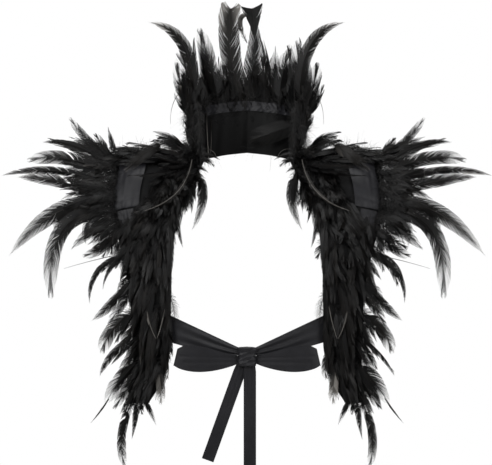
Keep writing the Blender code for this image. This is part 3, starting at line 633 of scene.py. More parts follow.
def growVane(path, direction, over, up, kind, side, rng):
    # one side of the vane, barb by barb: each is a thin strip from the shaft out to the feather's outline
    length = np.linalg.norm(np.diff(path, axis=0), axis=1).sum()
    count = max(9, int(length / kind.get("spacing", plume["barbSpacing"])))
    root = np.sort(np.clip(np.linspace(0.03, 0.985, count) + rng.normal(0, 0.2 / count, count), 0.01, 0.99))
    form, width = tipForms[kind["tip"]], kind["width"]
    clump = np.cumsum(rng.random(count) < 1 / plume["clump"])
    slant, rise = np.clip(rng.standard_t(2.5, (2, clump[-1] + 1)), -5, 5)[:, clump] * kind.get("splits", 1)
    pull = (plume["converge"] * rng.random(clump[-1] + 1))[clump] * kind.get("splits", 1)
    keep = (rng.random(clump[-1] + 1) > plume["missing"])[clump]
    downy = root < kind["downy"] * rng.uniform(0.8, 1.2, count)
    angle = np.radians(np.interp(root, (0, 1), (plume["rootAngle"], plume["tipAngle"])) + 14 * downy)
    reach = width / 2 * np.interp(root, tipPlaces, form) / np.tan(angle) / length
    end = np.minimum(root + reach * (1 + plume["slant"] * slant), 1.02)
    middle = (np.bincount(clump, end) / np.maximum(np.bincount(clump), 1))[clump]
    end = end + (middle - end) * pull
    span = width / 2 * np.interp(end, tipPlaces, form)
    span = span * (1 - plume["ragged"] * rng.random(count) ** 3) * (1 + 0.02 * slant)
    span = np.where(downy, span * rng.uniform(0.6, 1.35, count), span)
    # the last barbs close the tip, except on a forked one, and leave it uneven on a blunt one
    closing = np.clip((root - 0.90) / 0.085, 0, 1) * (kind["tip"] != "fork")
    if kind["tip"] == "blunt":
        closing = closing * rng.random(count) ** 0.5
    span, end = span * np.sqrt(1 - 0.97 * closing ** 2), end + 0.03 * closing
    rise = np.where(downy, rng.normal(0, 5, count), rise)

    t = np.array((0, 0.5, 1.0))
    share = root[:, None] + (end - root)[:, None] * t ** 1.2
    lateral = side * span[:, None] * t ** 0.88
    height = width * (plume["flutter"] * rise[:, None] - plume["camber"]) * t ** 2
    centre = along(path, share) + along(over, share) * lateral[..., None] + along(up, share) * height[..., None]
    centre = centre + direction[-1] * (np.maximum(share - 1, 0) * length)[..., None]
    fill = np.interp(share, (0, 0.55, 1), (1, 1, kind["thin"]))
    wide = length / count * 0.70 * fill * (1 - pull[:, None] * t) * np.array((1, 1, 0.8))
    wide = np.where(downy[:, None], wide * 0.42, wide)
    edge = along(direction, share) * wide[..., None]
    points = np.stack([centre - edge, centre + edge], 2)
    # the tone rises towards the tips: partly wear, which goes brown, and partly painted light, a lighter grey
    # for light shining through the thin tips
    worn = kind["tone"] + 0.05 * slant[:, None] + kind["tipTone"] * share ** 3 * (0.4 + 0.6 * t)
    uv = np.stack([np.broadcast_to(lateral, share.shape), share * length], -1)
    points, worn, uv = points[keep], worn[keep], uv[keep]
    return {
        "points": points.reshape(-1, 3), "quads": gridQuads(len(points), 2), "slot": 0,
        "uv": np.repeat(uv[:, :, None], 2, 2).reshape(-1, 2), "tone": np.repeat(worn[:, :, None], 2, 2).ravel(),
    }


def growFeather(path, direction, over, up, kind, rng):
    kind = {"downy": 0.16, "thin": 0.55, "tone": 0.05, "tipTone": 0.25, **kind}
    parts = [growShaft(path, over, up, kind)]
    if kind["width"] > 0:
        parts += [growVane(path, direction, over, up, kind, side, rng) for side in (-1, 1)]
    return parts


def growDown(root, way, length, rng, tone):
    # loose down: short fine hairs that curl a little and droop
    count = len(root)
    t = np.array((0, 0.4, 0.75, 1.0))
    curl = rng.normal(0, 0.35, (count, 3)) + (0, 0, -0.25)
    run = way[:, None] * t[:, None] + curl[:, None] * (t ** 2)[:, None]
    centre = root[:, None] + run * length[:, None, None]
    across = unit(np.cross(way, rng.normal(0, 1, (count, 3))))
    edge = across[:, None] * (0.00017 * np.array((1, 0.9, 0.7, 0.3)))[:, None]
    points = np.stack([centre - edge, centre + edge], 2)
    return {
        "points": points.reshape(-1, 3), "quads": gridQuads(count, 3), "slot": 0,
        "uv": np.zeros((count * 8, 2)), "tone": np.repeat(tone + rng.normal(0, 0.07, count), 8),
    }


def joinParts(name, parts, mirrored):
    starts = np.cumsum([0] + [len(p["points"]) for p in parts[:-1]])
    points = np.concatenate([p["points"] for p in parts])
    quads = np.concatenate([p["quads"] + start for p, start in zip(parts, starts)])
    if mirrored:
        points, quads = points * (-1, 1, 1), quads[:, ::-1]
    slots = np.concatenate([np.full(len(p["quads"]), p["slot"]) for p in parts])
    return makeMesh(name, points, quads, np.concatenate([p["uv"] for p in parts]), [feather, cotton],
                    tone=np.clip(np.concatenate([p["tone"] for p in parts]), 0, 1), slots=slots)


def asRows(columns, *rows):
    # every row under its column names; a dictionary at a row's end adds what only that row has
    return [{**dict(zip(columns, row)), **(row[-1] if isinstance(row[-1], dict) else {})} for row in rows]


def handSet(width, tip, *path, **looks):
    # a feather at its own place: its width and the points of its path in millimetres
    return {"path": path, "width": width, "tip": tip, **looks}


# One row for each length of feather trim, a tape with quills sewn into it.
# start and end are places on its cloth. Headings are degrees as seen from the front: 0 down, 90 away from
# the middle, 180 up; turns are their change from root to tip. Leans are towards the front, lifts off the
# cloth, curl back to it. pitch tilts the vanes like a louvre, face twists their tips to the front.
# special gives single feathers their own heading, turn, length, width and tip, and guides the fillers beside
# them. placed gives them a middle and a tip, which is how the feathers at the outline are set.
fringes = asRows(
    ("name", "cloth", "start", "end", "count", "headings", "turns", "leans", "lengths",
     "width", "curl", "pitch", "face", "raise", "lifts"),
    ("front_fringe_9", "side", (9.88, 0.08), (9.88, 0.92), 4, (-22, 34), (4, -40), (4, 4), (0.03, 0.08), 0.012,
     4, 20, 0, 0.0008, (0, 16, 0, 0), {
        "fillers": 1, "fillerMost": 0.026, "down": 60,
        "special": {3: (36, -66, 0.104, 0.013, "round")},
        "placed": {
            0: handSet(8, "point", (150, -96, -377), (140, -97, -400)),
            1: handSet(8, "round", (163, -96, -374), (161, -98, -384)),
            2: handSet(10, "wisp", (172, -96, -392), (177, -97, -422)),
            3: handSet(14, "round", (192, -95, -412), (189, -95, -462)),
        },
    }),
    ("front_fringe_8", "side", (9.05, 0.07), (9.05, 0.93), 5, (0, 36), (2, -8), (5, 5), (0.022, 0.072), 0.013,
     6, 22, 0, 0.0006, (0, 30, 10, 8, 4), {
        "fillerMost": 0.042,
        "placed": {
            4: handSet(10, "point", (181, -94, -360), (195, -96, -383)),
        },
    }),
    ("front_fringe_7", "side", (8.25, 0.06), (8.25, 0.94), 5, (4, 34), (4, 0), (6, 6), (0.046, 0.112), 0.015, 8,
     22, 0, 0.0006, (0, 14, 12, 2, 0), {
        "special": {4: (38, -8, 0.124, 0.017, "point")},
        "placed": {
            4: handSet(26, "point", (195, -98, -333), (219, -99, -369), tipTone=0.3),
        },
    }),
    ("front_fringe_6", "side", (7.45, 0.06), (7.45, 0.94), 5, (0, 40), (0, -6), (6, 6), (0.06, 0.082), 0.014, 8,
     22, 0, 0.0006, (0, 6, 6, 0, 0), {
        "special": {4: (42, -8, 0.084, 0.009, "point")},
        "placed": {
            4: handSet(12, "point", (205, -100, -290), (226, -101, -324)),
        },
    }),
    ("front_fringe_5", "side", (6.75, 0.06), (6.75, 0.94), 5, (-3, 36), (0, -8), (6, 6), (0.086, 0.084), 0.015,
     8, 22, 0, 0.0006, (0, 4, 4, 0, 0), {
        "special": {4: (36, -8, 0.086, 0.021, "round")},
        "placed": {
            4: handSet(22, "round", (205, -104, -251), (222, -105, -287), tone=0.3, tipTone=0.4),
        },
    }),
    ("front_fringe_4", "side", (6.05, 0.06), (6.05, 0.94), 5, (-2, 48), (0, -8), (6, 6), (0.098, 0.086), 0.014,
     8, 22, 0, 0.0006, (0, 2, 0, 0, 0), {
        "special": {4: (46, -6, 0.088, 0.014, "point")},
        "placed": {
            4: handSet(16, "point", (206, -104, -212), (237, -106, -239)),
        },
    }),
    ("front_fringe_3", "side", (5.4, 0.06), (5.4, 0.94), 5, (-2, 62), (0, -40), (6, 6), (0.098, 0.092), 0.014,
     8, 22, 0, 0.0006, (10, 8, 6, 0, 0), {
        "special": {3: (28, -10, 0.074, 0.014, "round"), 4: (76, -62, 0.1, 0.012, "point")},
        "placed": {
            4: handSet(9, "point", (229, -98, -164), (242, -99, -212)),
        },
    }),
    ("neck_fringe_inner", "side", (3.9, 0.045), (3, 0.045), 5, (4, -4), (4, 10), (34, 38), (0.05, 0.056), 0.01,
     26, 18, 0, 0.0014, (54, 58, 0, 54, 0), {
        "special": {4: (-12, 38, 0.092, 0.013, "point")},
        "placed": {
            1: handSet(10, "round", (93, -72, -53), (93, -78, -71)),
            4: handSet(15, "point", (68, -62, -48), (84, -78, -99)),
        },
    }),
    ("front_fringe_2", "side", (4.72, 0.06), (4.72, 0.58), 4, (-4, 30), (2, -10), (8, 8), (0.092, 0.096), 0.015,
     8, 22, 0, 0.0006, (14, 14, 14, 10)),
    ("front_fringe_1", "side", (3.98, 0.08), (3.98, 0.54), 4, (-2, 34), (4, 0), (14, 14), (0.076, 0.09), 0.015,
     10, 22, 0, 0.0008, (14, 16, 14, 8)),
    ("back_fringe_low", "side", (0.12, 0.06), (0.12, 0.94), 6, (2, 34), (4, -8), (-12, -12), (0.082, 0.094),
     0.015, 8, 22, 0, 0.001, (0, 6, 0, 0, 0, 0)),
    ("back_fringe_high", "side", (0.8, 0.12), (0.8, 0.95), 6, (10, 52), (0, -16), (-16, -16), (0.084, 0.092),
     0.015, 10, 22, 0, 0.0006, (16, 14, 10, 2, 0, 0)),
    ("shoulder_fringe_long", "side", (1.35, 0.975), (4.98, 0.975), 10, (118, 52), (-10, -40), (-16, 12),
     (0.125, 0.12), 0.016, 0, 16, 0.75, 0.0046, (0,) * 10, {
        "fillerMost": 0.1,
        "special": {2: (140, -4, 0.1, 0.013, "round"), 3: (112, -6, 0.112, 0.011, "round"),
            4: (104, -10, 0.128, 0.023, "round"), 5: (106, -26, 0.166, 0.014, "point"),
            6: (104, -16, 0.144, 0.019, "point"), 7: (92, -54, 0.176, 0.022, "point"),
            8: (88, -104, 0.17, 0.021, "round"), 9: (58, -8, 0.064, 0.016, "point")},
        "placed": {
            2: handSet(13, "round", (242, -6, 34), (274, 2, 71), tipTone=0.3),
            3: handSet(8, "round", (262, -20, 29), (313, -14, 36), tipTone=0.3),
            4: handSet(21, "round", (274, -38, 9), (335, -34, 8), tipTone=0.45),
            5: handSet(13, "point", (298, -52, -9), (377, -50, -16), tipTone=0.75, shaftTone=0.4),
            6: handSet(19, "point", (290, -64, -26), (352, -68, -19), tipTone=0.7, shaftTone=0.5),
            7: handSet(28, "point", (288, -78, -71), (363, -86, -136), tipTone=0.5, shaftTone=0.6, thin=0.85,
                       splits=0.5),
            8: handSet(25, "round", (281, -88, -96), (302, -100, -197), tipTone=0.2, thin=0.9, splits=0.5),
            9: handSet(15, "round", (223, -87, -127), (250, -93, -140), tipTone=0.3),
        },
    }),
    ("shoulder_fringe_short", "side", (1.7, 0.965), (4.6, 0.965), 8, (106, 62), (-6, -26), (-10, 16),
     (0.074, 0.086), 0.017, 0, 16, 0.75, 0.0062, (0, 28, 0, 6, 10, 6, 4, 4)),
    ("shoulder_fringe_top", "side", (1.15, 0.5), (2.3, 0.5), 4, (84, 80), (0, -6), (-22, 4), (0.076, 0.066),
     0.014, 6, 14, 0.3, 0.0006, (0, 6, 8, 8)),
    ("neck_fringe_over", "side", (1.25, 0.105), (2.85, 0.105), 6, (94, 58), (-14, 0), (-22, 24), (0.062, 0.1),
     0.015, 6, 14, 0.3, 0.0012, (6, 14, 30, 32, 24, 28), {
        "special": {3: (76, -6, 0.094, 0.017, "round"), 5: (40, 30, 0.116, 0.013, "point")},
    }),
    ("neck_fringe_high", "side", (1.2, 0.04), (2.72, 0.04), 6, (140, 120), (-50, -56), (-14, 6), (0.078, 0.06),
     0.018, 0, 12, 0.6, 0.0012, (0, 8, 24, 16, 18, 22), {
        "fillerMost": 0.052, "down": 420,
    }),
    ("collar_fringe_high", "collar", (0.44, 0.66), (0.93, 0.6), 5, (184, 186), (-10, -16), (-4, 2),
     (0.126, 0.076), 0.024, 24, 10, 0.6, 0.001, (12, 14, 28, 24, 12), {
        "special": {2: (188, -14, 0.105, 0.02, "round"), 3: (186, -20, 0.1, 0.028, "round"),
            4: (172, -16, 0.046, 0.015, "round")},
        "placed": {
            # its pale grey tip is partly painted light shining through the thin vane
            2: handSet(21, "point", (93, -3, 175), (149, -2, 222), tipTone=1.0, shaftTone=0.3),
        },
    }),
    ("collar_back_fringe_high", "collar", (-0.38, 0.66), (0.38, 0.66), 6, (186, 174), (4, -4), (-2, -2),
     (0.14, 0.126), 0.026, 10, 10, 0, 0.001, (6, 8, 8, 14, 8, 8), {
        "special": {0: (184, 2, 0.14, 0.022, "round"), 1: (185, -2, 0.096, 0.022, "point"),
            2: (187, -3, 0.174, 0.032, "round"), 3: (180, 2, 0.174, 0.032, "round"),
            4: (176, 2, 0.112, 0.024, "point")},
        "placed": {
            2: handSet(34, "fork", (11, 95, 160), (8, 98, 250), tone=0.04, tipTone=0.1, thin=1.2, splits=0.4),
            3: handSet(34, "blunt", (-23, 93, 160), (-26, 96, 250), tone=0.2, tipTone=0.6, thin=1.2,
                       splits=0.4),
        },
    }),
    ("collar_back_fringe_low", "collar", (-0.28, 0.3), (0.28, 0.3), 5, (188, 172), (6, -6), (-10, -10),
     (0.06, 0.06), 0.02, 0, 12, 0, 0.001, (0, 6, 8, 8, 4)),
)
fringeLooks = {
    # fillers are the shorter feathers sewn beside each one
    "fillers": 2, "fillerLength": (0.42, 0.80), "fillerMost": 0.12,
    "fillerWidth": (0.70, 1.05), "fillerTurn": 9,
    "tapeWidth": 0.006, "tapeWall": 0.0011,
    "down": 140, "downLength": (0.006, 0.015),
    "special": {}, "placed": {},
}


def spread(number, salt):
    # a steady value from -1 to 1 for each feather
    return 2.0 * ((number * 0.61803 + salt * 0.37) % 1.0) - 1.0


def featherPlan(fringe, index):
    share = (index + 0.5) / fringe["count"]
    salt = len(fringe["name"]) + fringe["count"]
    ranges = ("headings", "turns", "leans", "lengths")
    heading, turn, lean, length = [fringe[r][0] + (fringe[r][1] - fringe[r][0]) * share for r in ranges]
    if index in fringe["special"]:
        heading, turn, length, width, tip = fringe["special"][index]
    else:
        heading += 5.0 * spread(index, salt)
        turn += 7.0 * spread(index + 3, salt)
        length *= 1.0 + 0.11 * spread(index + 7, salt)
        width = fringe["width"] * (1.0 + 0.14 * spread(index + 11, salt))
        tip = "round" if spread(index + 5, salt) > 0.45 else "point"
    return {"share": share, "heading": heading, "turn": turn, "lean": lean, "length": length, "width": width,
            "tip": tip, "lift": fringe["lifts"][index]}


def bendPath(root, normal, plan, curl, hug=False):
    share = pathShares[:, None]
    angle, forward = np.radians(plan["heading"] + plan["turn"] * share), math.radians(plan["lean"])
    level, ahead = math.cos(forward), math.sin(forward)
    flat = np.hstack([np.sin(angle) * level, 0 * angle - ahead, -np.cos(angle) * level])
    if hug:
        flat = unit(flat - normal * (flat @ normal)[:, None])
    direction = unit(flat + normal * np.tan(np.radians(plan["lift"] - curl * share)))
    path = root + np.vstack([np.zeros(3), np.cumsum(direction[:-1], 0)]) * (plan["length"] / 30)
    return path, direction


def bladeFrames(direction, normal, tapeWay, fringe):
    # which way the vane spreads and which way its face looks, all along the feather
    share = pathShares[:, None]
    twist = fringe["face"] * np.clip((share - 0.12) / 0.5, 0, 1)
    over = unit(np.cross(direction, normal + (frontWay - normal) * twist))
    last = tapeWay
    for row in over:
        row *= 1 if row @ last > 0 else -1
        last = row
    up = unit(np.cross(over, direction))
    up = up * (1 if up[0] @ normal > 0 else -1)
    tilt = np.radians(fringe["pitch"]) * np.minimum(1, share / 0.3)
    return over * np.cos(tilt) + up * np.sin(tilt), up * np.cos(tilt) - over * np.sin(tilt)


def tapeFrames(fringe):
    surface = clothOf[fringe["cloth"]]
    starts, ends = fringe["start"], fringe["end"]

    def place(share):
        share = np.clip(np.asarray(share, float), 0, 1)
        return surface(*(start + (end - start) * share for start, end in zip(starts, ends)))

    def frames(share):
        point, normal = place(share)
        way = unit(place(np.asarray(share) + 0.02)[0] - place(np.asarray(share) - 0.02)[0])
        return point, normal, way, unit(np.cross(way, normal)) * flip

    flip = 1
    plan = featherPlan(fringe, fringe["count"] // 2)
    point, normal, way, out = frames(plan["share"])
    path, _ = bendPath(point, normal, {**plan, "lift": 0}, fringe["curl"])
    flip = 1 if (path[15] - point) @ out > 0 else -1
    return frames


def growTape(frames, fringe):
    rings = 33
    share = np.linspace(0, 1, rings)
    point, normal, way, out = frames(share)
    low, high = fringe["raise"], fringe["raise"] + fringe["tapeWall"]
    half = fringe["tapeWidth"] / 2
    corners = ((-half, low), (half, low), (half, high), (-half, high))
    points = np.stack([point + out * side + normal * level for side, level in corners], 1)
    ends = np.array((range(3, -1, -1), range(4 * rings - 4, 4 * rings)))
    uv = np.stack([np.tile((0, 0.006, 0.007, 0.013), rings), np.repeat(share, 4) * 0.1], -1)
    return {"points": points.reshape(-1, 3), "quads": np.concatenate([ringQuads(rings, 4), ends]), "uv": uv,
            "tone": np.zeros(4 * rings), "slot": 1}


def featherKind(plan, rng):
    # most are fully black; a few in each fringe are worn brown or thin and grey
    worn = rng.random()
    tone = 0.04 + (0.16 * rng.random() if worn < 0.22 else 0)
    return {"width": plan["width"], "tip": plan["tip"], "tone": tone,
            "thin": rng.uniform(0.6, 0.95), "tipTone": rng.uniform(0.05, 0.35)}


def buildFringe(fringe, side):
    fringe = {**fringeLooks, **fringe}
    name = fringe["name"] + (f"_{side}" if side else "")
    rng = np.random.default_rng(sum(name.encode()))
    frames = tapeFrames(fringe)
    parts = [growTape(frames, fringe)]
    level = fringe["raise"] + fringe["tapeWall"] / 2

    def grow(plan, share, extra):
        point, normal, way, out = frames(share)
        root = point + out * (fringe["tapeWidth"] / 2 - 0.002) + normal * level
        path, direction = bendPath(root, normal, plan, fringe["curl"])
        over, up = bladeFrames(direction, normal, way, fringe)
        parts.extend(growFeather(path, direction, over, up, {**featherKind(plan, rng), **extra}, rng))

    for index in range(fringe["count"]):
        plan = featherPlan(fringe, index)
        if index in fringe["placed"]:
            point, normal, way, out = frames(plan["share"])
            placed, root = fringe["placed"][index], (point + normal * fringe["raise"]) * 1000
            parts.extend(growStray({**placed, "path": (root, *placed["path"])}, rng))
        else:
            grow(plan, plan["share"], {})
        for _ in range(fringe["fillers"]):
            longest = min(plan["length"], fringe["fillerMost"])
            filler = {
                **plan,
                "heading": plan["heading"] + rng.normal(0, fringe["fillerTurn"]),
                "turn": plan["turn"] + rng.normal(0, 10),
                "length": longest * rng.uniform(*fringe["fillerLength"]),
                "width": plan["width"] * rng.uniform(*fringe["fillerWidth"]),
                "lift": plan["lift"] + rng.uniform(0.5, 7),
                "tip": ("point", "round", "wisp")[rng.integers(3)],
            }
            grow(filler, plan["share"] + rng.uniform(-0.5, 0.5) / fringe["count"], {"spacing": 0.0012})
    count = fringe["down"]
    share = rng.random(count)
    point, normal, way, out = frames(share)
    sway = rng.normal(0, 0.6, (count, 1))
    hair = unit(out * np.cos(sway) + way * np.sin(sway) + normal * rng.uniform(0, 0.9, (count, 1)))
    root = point + out * 0.001 + normal * level
    parts.append(growDown(root, hair, rng.uniform(*fringe["downLength"], count), rng, 0.12))
    for patch in coverts:
        if patch["trim"] == fringe["name"]:
            growCoverts({**covertLooks, **patch}, parts, rng)
    for stray in strayFeathers.get(fringe["name"], ()):
        parts.extend(growStray(stray, rng))
    obj = joinParts("dressed_" + name, parts, side == "right")
    ontoFrame(obj, name)
    return len(obj.data.polygons) * 2


# Short feathers sewn singly over the cloth between the tapes, each patch made with the trim it lies beside.
# first and second are the ranges of their places on the cloth; the other ranges are the least and the most.
coverts = asRows(
    ("trim", "cloth", "first", "second", "count", "heading", "turn", "length", "width", "lift",
     "raise", "down"),
    # the front of the yoke beside the neck
    ("neck_fringe_over", "side", (2.9, 4.3), (0.02, 0.4), 34, (-12, 42), (-30, 15), (0.032, 0.052),
     (0.01, 0.016), (8, 28), 0.001, 260),
    # the yoke between the neck and the satin ribbon
    ("neck_fringe_over", "side", (2.9, 4.1), (0.22, 0.44), 22, (-6, 30), (-20, 15), (0.03, 0.044),
     (0.011, 0.016), (4, 18), 0.002, 200),
    # from the foot of the collar out over the shoulder
    ("neck_fringe_over", "side", (2.0, 3.0), (0.0, 0.16), 22, (76, 116), (-30, 0), (0.04, 0.062),
     (0.012, 0.017), (6, 24), 0.002, 420),
    # the ridge of the shoulder, over the start of the satin ribbon, then beyond it
    ("shoulder_fringe_top", "side", (1.5, 2.75), (0.1, 0.62), 26, (76, 112), (-25, 12), (0.036, 0.06),
     (0.011, 0.016), (6, 24), 0.002, 340),
    ("shoulder_fringe_top", "side", (1.6, 2.6), (0.5, 0.97), 22, (76, 116), (-25, 12), (0.03, 0.05),
     (0.012, 0.016), (2, 16), 0.0095, 300),
    # the fluffy roots of the fan, beside and below the satin ribbon
    ("shoulder_fringe_short", "side", (2.2, 4.9), (0.9, 1.0), 56, (58, 116), (-30, 5), (0.03, 0.056),
     (0.015, 0.022), (0, 22), 0.008, 420, {"lean": 6, "downy": 0.55}),
    # under the satin ribbon, down the chest
    ("front_fringe_1", "side", (4.3, 5.6), (0.05, 0.97), 40, (-12, 48), (-25, 15), (0.034, 0.058),
     (0.011, 0.016), (8, 26), 0.001, 260),
    # the back of the yoke
    ("back_fringe_high", "side", (0.1, 1.7), (0.05, 0.97), 44, (-5, 70), (-25, 10), (0.034, 0.06),
     (0.011, 0.016), (8, 26), 0.001, 260, {"lean": -8}),
    # the outer side of the collar, standing well away from it
    ("collar_fringe_high", "collar", (0.42, 0.99), (0.05, 0.92), 52, (162, 198), (-16, 12), (0.036, 0.06),
     (0.014, 0.021), (4, 24), 0.001, 460, {"face": 0.7}),
    # from the foot of the collar down on to the shoulder
    ("neck_fringe_high", "collar", (0.62, 1.0), (0.05, 0.38), 15, (98, 136), (-48, -12), (0.03, 0.046),
     (0.014, 0.019), (10, 30), 0.001, 200, {"face": 0.7, "downy": 0.6}),
    # behind the top edge of the collar
    ("collar_back_fringe_high", "collar", (-0.5, 0.5), (0.45, 0.95), 66, (164, 196), (-12, 12), (0.048, 0.082),
     (0.017, 0.025), (0, 14), 0.001, 360),
    # behind the collar's foot
    ("collar_back_fringe_low", "collar", (-0.42, 0.42), (0.02, 0.5), 34, (160, 200), (-20, 20), (0.04, 0.06),
     (0.013, 0.019), (10, 30), 0.001, 200),
)


covertLooks = {"lean": 0, "face": 0.2, "pitch": 8, "curl": 14, "downy": 0.35, "tone": 0.03}


def growCoverts(patch, parts, rng):
    def scatter(count):
        first, second = rng.uniform(*patch["first"], count), rng.uniform(*patch["second"], count)
        return clothOf[patch["cloth"]](first, second)

    points, normals = scatter(patch["count"])
    for point, normal in zip(points, normals):
        plan = {key: rng.uniform(*patch[key]) for key in ("heading", "turn", "length", "width", "lift")}
        plan["lean"] = patch["lean"]
        path, direction = bendPath(point + normal * patch["raise"], normal, plan, patch["curl"], hug=True)
        over, up = bladeFrames(direction, normal, np.cross(direction[0], normal), patch)
        kind = {"width": plan["width"], "tip": ("point", "round", "round")[rng.integers(3)], "spacing": 0.0012,
                "downy": patch["downy"], "tone": patch["tone"] + 0.12 * rng.random() ** 4,
                "thin": 0.7, "tipTone": rng.uniform(0.05, 0.3)}
        parts.extend(growFeather(path, direction, over, up, kind, rng))
    hairs = patch["down"]
    points, normals = scatter(hairs)
    way = unit(rng.normal(0, 0.7, (hairs, 3)) + normals * rng.uniform(0.4, 1.6, (hairs, 1)))
    parts.append(growDown(points + normals * patch["raise"], way, rng.uniform(0.009, 0.021, hairs), rng, 0.06))


# Single feathers that stand out of their fringe, by root, middle and tip. A width of 0 is a bare shaft.
# Those of the side fringes are given for the left and mirrored.
strayFeathers = {
    "collar_fringe_high": (
        handSet(0, "point", (99, 4, 119), (115, 2, 96), (119, 0, 64), shaft=0.9),
        handSet(15, "round", (79, -38, 101), (73, -48, 60), (76, -56, 17), downy=0.9),
        handSet(16, "round", (82, -40, 76), (88, -52, 42), (102, -62, 12), downy=0.9),
        handSet(10, "wisp", (78, -42, 51), (68, -52, 25), (65, -58, -2), downy=0.9),
        handSet(9, "round", (88, -30, 95), (96, -34, 79), (99, -36, 60), downy=1.2),
    ),
    "collar_back_fringe_high": (
        handSet(6, "wisp", (33, 96, 113), (29, 98, 166), (17, 100, 215)),
        handSet(5, "wisp", (37, 94, 122), (34, 96, 160), (26, 98, 198)),
        handSet(8, "round", (0, 99, 194), (-11, 100, 228), (3, 101, 239), tone=0.45),
        handSet(0, "point", (-64, 46, 82), (-62, 48, 42), (-60, 46, 11), shaft=2.2, shaftTone=0.9),
        handSet(0, "point", (-57, 46, 73), (-56, 48, 45), (-57, 46, 20), shaft=1.4, shaftTone=0.7),
        handSet(23, "round", (-45, 66, 95), (-56, 62, 150), (-74, 58, 211), tipTone=0.3),
        handSet(32, "round", (-64, 50, 85), (-84, 46, 126), (-105, 42, 174), tipTone=0.2),
        handSet(22, "round", (-67, 46, 70), (-88, 42, 98), (-107, 38, 132), tipTone=0.2),
        handSet(29, "round", (68, 52, 85), (78, 54, 138), (81, 54, 192), tipTone=0.2),
        handSet(24, "round", (51, 62, 91), (54, 64, 135), (65, 64, 178), tipTone=0.2),
        handSet(28, "round", (64, 50, 82), (79, 46, 119), (87, 42, 166), tipTone=0.2),
    ),
    "collar_back_fringe_low": (
        handSet(33, "round", (71, 32, 62), (39, 46, 51), (3, 58, 40), tone=0.1, tipTone=0.1, downy=0),
    ),
    "neck_fringe_inner": (
        handSet(8, "wisp", (79, -30, 14), (60, -24, 16), (42, -20, 8), tone=0.2),
        handSet(8, "round", (79, -34, 6), (64, -30, 8), (51, -28, -2)),
        handSet(0, "point", (76, -30, 23), (65, -26, 11), (59, -26, -3), shaft=0.9, shaftTone=0.6),
        handSet(0, "point", (70, -28, 26), (54, -20, 22), (48, -18, 11), shaft=0.9, shaftTone=0.8),
        handSet(7, "wisp", (79, -38, -2), (70, -40, -5), (60, -42, -12)),
        handSet(8, "point", (110, -78, -48), (108, -90, -87), (99, -96, -127)),
        handSet(9, "round", (104, -68, -29), (90, -76, -42), (88, -80, -60)),
    ),
    "shoulder_fringe_long": (
        handSet(0, "point", (209, -92, -141), (246, -98, -150), (281, -102, -160), shaft=0.9),
        handSet(16, "round", (253, -60, -54), (284, -74, -76), (290, -80, -104)),
    ),
    "front_fringe_1": (
        handSet(7, "wisp", (85, -60, 8), (107, -96, -42), (157, -100, -71), tone=0.35, shaftTone=0.5,
                tipTone=0.3),
    ),
    "front_fringe_3": (
        handSet(12, "point", (122, -100, -82), (118, -112, -135), (124, -116, -197)),
        handSet(8, "wisp", (135, -112, -121), (135, -116, -153), (138, -117, -191), tone=0.3, thin=0.4),
    ),
    "front_fringe_4": (
        handSet(11, "point", (122, -110, -150), (121, -115, -197), (124, -115, -256)),
    ),
    "front_fringe_5": (
        handSet(5, "wisp", (155, -112, -214), (150, -116, -242), (140, -117, -267), tone=0.35, shaftTone=0.5),
        handSet(3, "wisp", (124, -112, -209), (130, -116, -240), (138, -117, -267), tone=0.4, shaftTone=0.5),
    ),
    "front_fringe_6": (
        handSet(14, "round", (122, -108, -195), (113, -112, -219), (112, -110, -243), downy=1.2),
    ),
    "front_fringe_7": (
        # these two hanging feathers are thin: their lighter grey tone is partly painted light shining through
        # them
        handSet(12, "round", (130, -100, -279), (121, -104, -304), (122, -102, -329), tone=0.3, tipTone=0.4,
                thin=0.5),
        handSet(14, "round", (140, -98, -305), (133, -102, -338), (133, -100, -367), tone=0.5, tipTone=0.6,
                thin=0.35),
        handSet(3, "wisp", (212, -100, -360), (226, -101, -380), (240, -102, -397)),
    ),
    "neck_fringe_over": (
        handSet(17, "round", (126, -56, 34), (153, -84, 19), (186, -92, -8), tone=0.25, tipTone=0.35),
    ),
}


def growStray(stray, rng):
    a, b, c = [np.array(p) / 1000 for p in stray["path"]]
    t = pathShares[:, None]
    b = 2 * b - (a + c) / 2  # so that the curve passes through the middle point
    path = a * (1 - t) ** 2 + b * 2 * t * (1 - t) + c * t ** 2
    direction = unit(np.gradient(path, axis=0))
    over = unit(np.cross(direction, frontWay))
    up = unit(np.cross(over, direction))
    up = up * np.where(up @ frontWay > 0, 1, -1)[:, None]
    return growFeather(path, direction, over, up, {**stray, "width": stray["width"] / 1000}, rng)


triangles = 0
for fringe in fringes:
    for side in ("",) if fringe["start"][0] < 0 else ("left", "right"):
        triangles += buildFringe(fringe, side)
    print(f"{fringe['name']} grown, {triangles} triangles so far")


# Floor, light and camera
studio = {
    "floor": "#f3f2f0", "floorHeight": -1.42,
    "distance": 8.0, "frameWidth": 0.7626, "frameCentre": (-0.0016, -0.1046), "middlePlane": -0.03,
    "worldLight": 0.06,
}


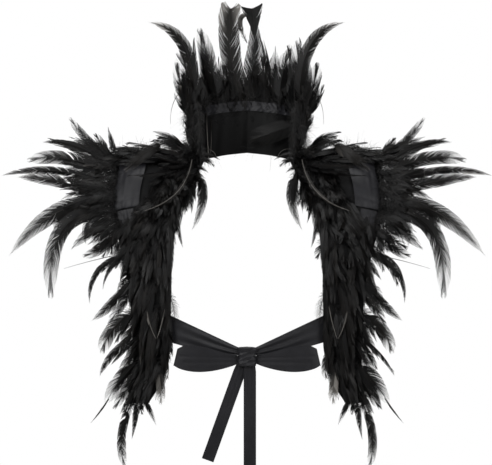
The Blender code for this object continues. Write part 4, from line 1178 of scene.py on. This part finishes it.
def layFloor():
    half, z = 5.0, studio["floorHeight"]
    mesh = bpy.data.meshes.new("studioFloor")
    corners = [(x * half, y * half, z) for x, y in ((-1, -1), (1, -1), (1, 1), (-1, 1))]
    mesh.from_pydata(corners, [], [(0, 1, 2, 3)])
    material, tree, shader = startMaterial("paintedStudioFloor", {
        "Base Color": hexColour(studio["floor"]), "Roughness": 0.7, "IOR": 1.45,
    })
    mesh.materials.append(material)
    floor = bpy.data.objects.new("studioFloor", mesh)
    bpy.context.scene.collection.objects.link(floor)


def addSoftbox(name, place, aim, size, watts):
    light = bpy.data.lights.new(name, "AREA")
    light.shape, light.size, light.energy = "SQUARE", size, watts
    obj = bpy.data.objects.new(name, light)
    obj.location = place
    obj.rotation_euler = (Vector(aim) - Vector(place)).to_track_quat("-Z", "Y").to_euler()
    bpy.context.scene.collection.objects.link(obj)


def setStudio():
    layFloor()
    middle = (0.0, -0.02, -0.10)
    addSoftbox("keySoftbox", (-1.5, -2.3, 1.3), middle, 1.2, 40)
    addSoftbox("fillSoftbox", (1.9, -2.2, 0.7), middle, 1.4, 26)
    addSoftbox("topSoftbox", (0.0, -0.3, 2.0), middle, 1.0, 16)
    addSoftbox("backSoftbox", (0.6, 2.2, 1.1), middle, 1.2, 10)
    world = bpy.data.worlds.new("paleSweep")
    bpy.context.scene.world = world
    world.use_nodes = True
    tree = world.node_tree
    tree.nodes.clear()
    ray = addNode(tree, "ShaderNodeLightPath")
    light = addNode(tree, "ShaderNodeBackground", {"Color": (1, 1, 1, 1), "Strength": studio["worldLight"]})
    sweep = addNode(tree, "ShaderNodeBackground", {"Color": (1, 1, 1, 1), "Strength": 1.0})
    mix = addNode(tree, "ShaderNodeMixShader", links={
        "Fac": ray.outputs["Is Camera Ray"], 1: light.outputs["Background"], 2: sweep.outputs["Background"],
    })
    addNode(tree, "ShaderNodeOutputWorld", links={"Surface": mix.outputs["Shader"]})
    bpy.context.scene.view_settings.view_transform = "Standard"


def placeCamera():
    data = bpy.data.cameras.new("frontCamera")
    data.sensor_width = 36.0
    data.lens = 36.0 * studio["distance"] / studio["frameWidth"]
    data.clip_end = 30.0
    camera = bpy.data.objects.new("frontCamera", data)
    x, z = studio["frameCentre"]
    camera.location = (x, studio["middlePlane"] - studio["distance"], z)
    camera.rotation_euler = (math.pi / 2, 0, 0)
    bpy.context.scene.collection.objects.link(camera)
    bpy.context.scene.camera = camera


setStudio()
placeCamera()
print(f"studio set, {triangles} triangles of feather")
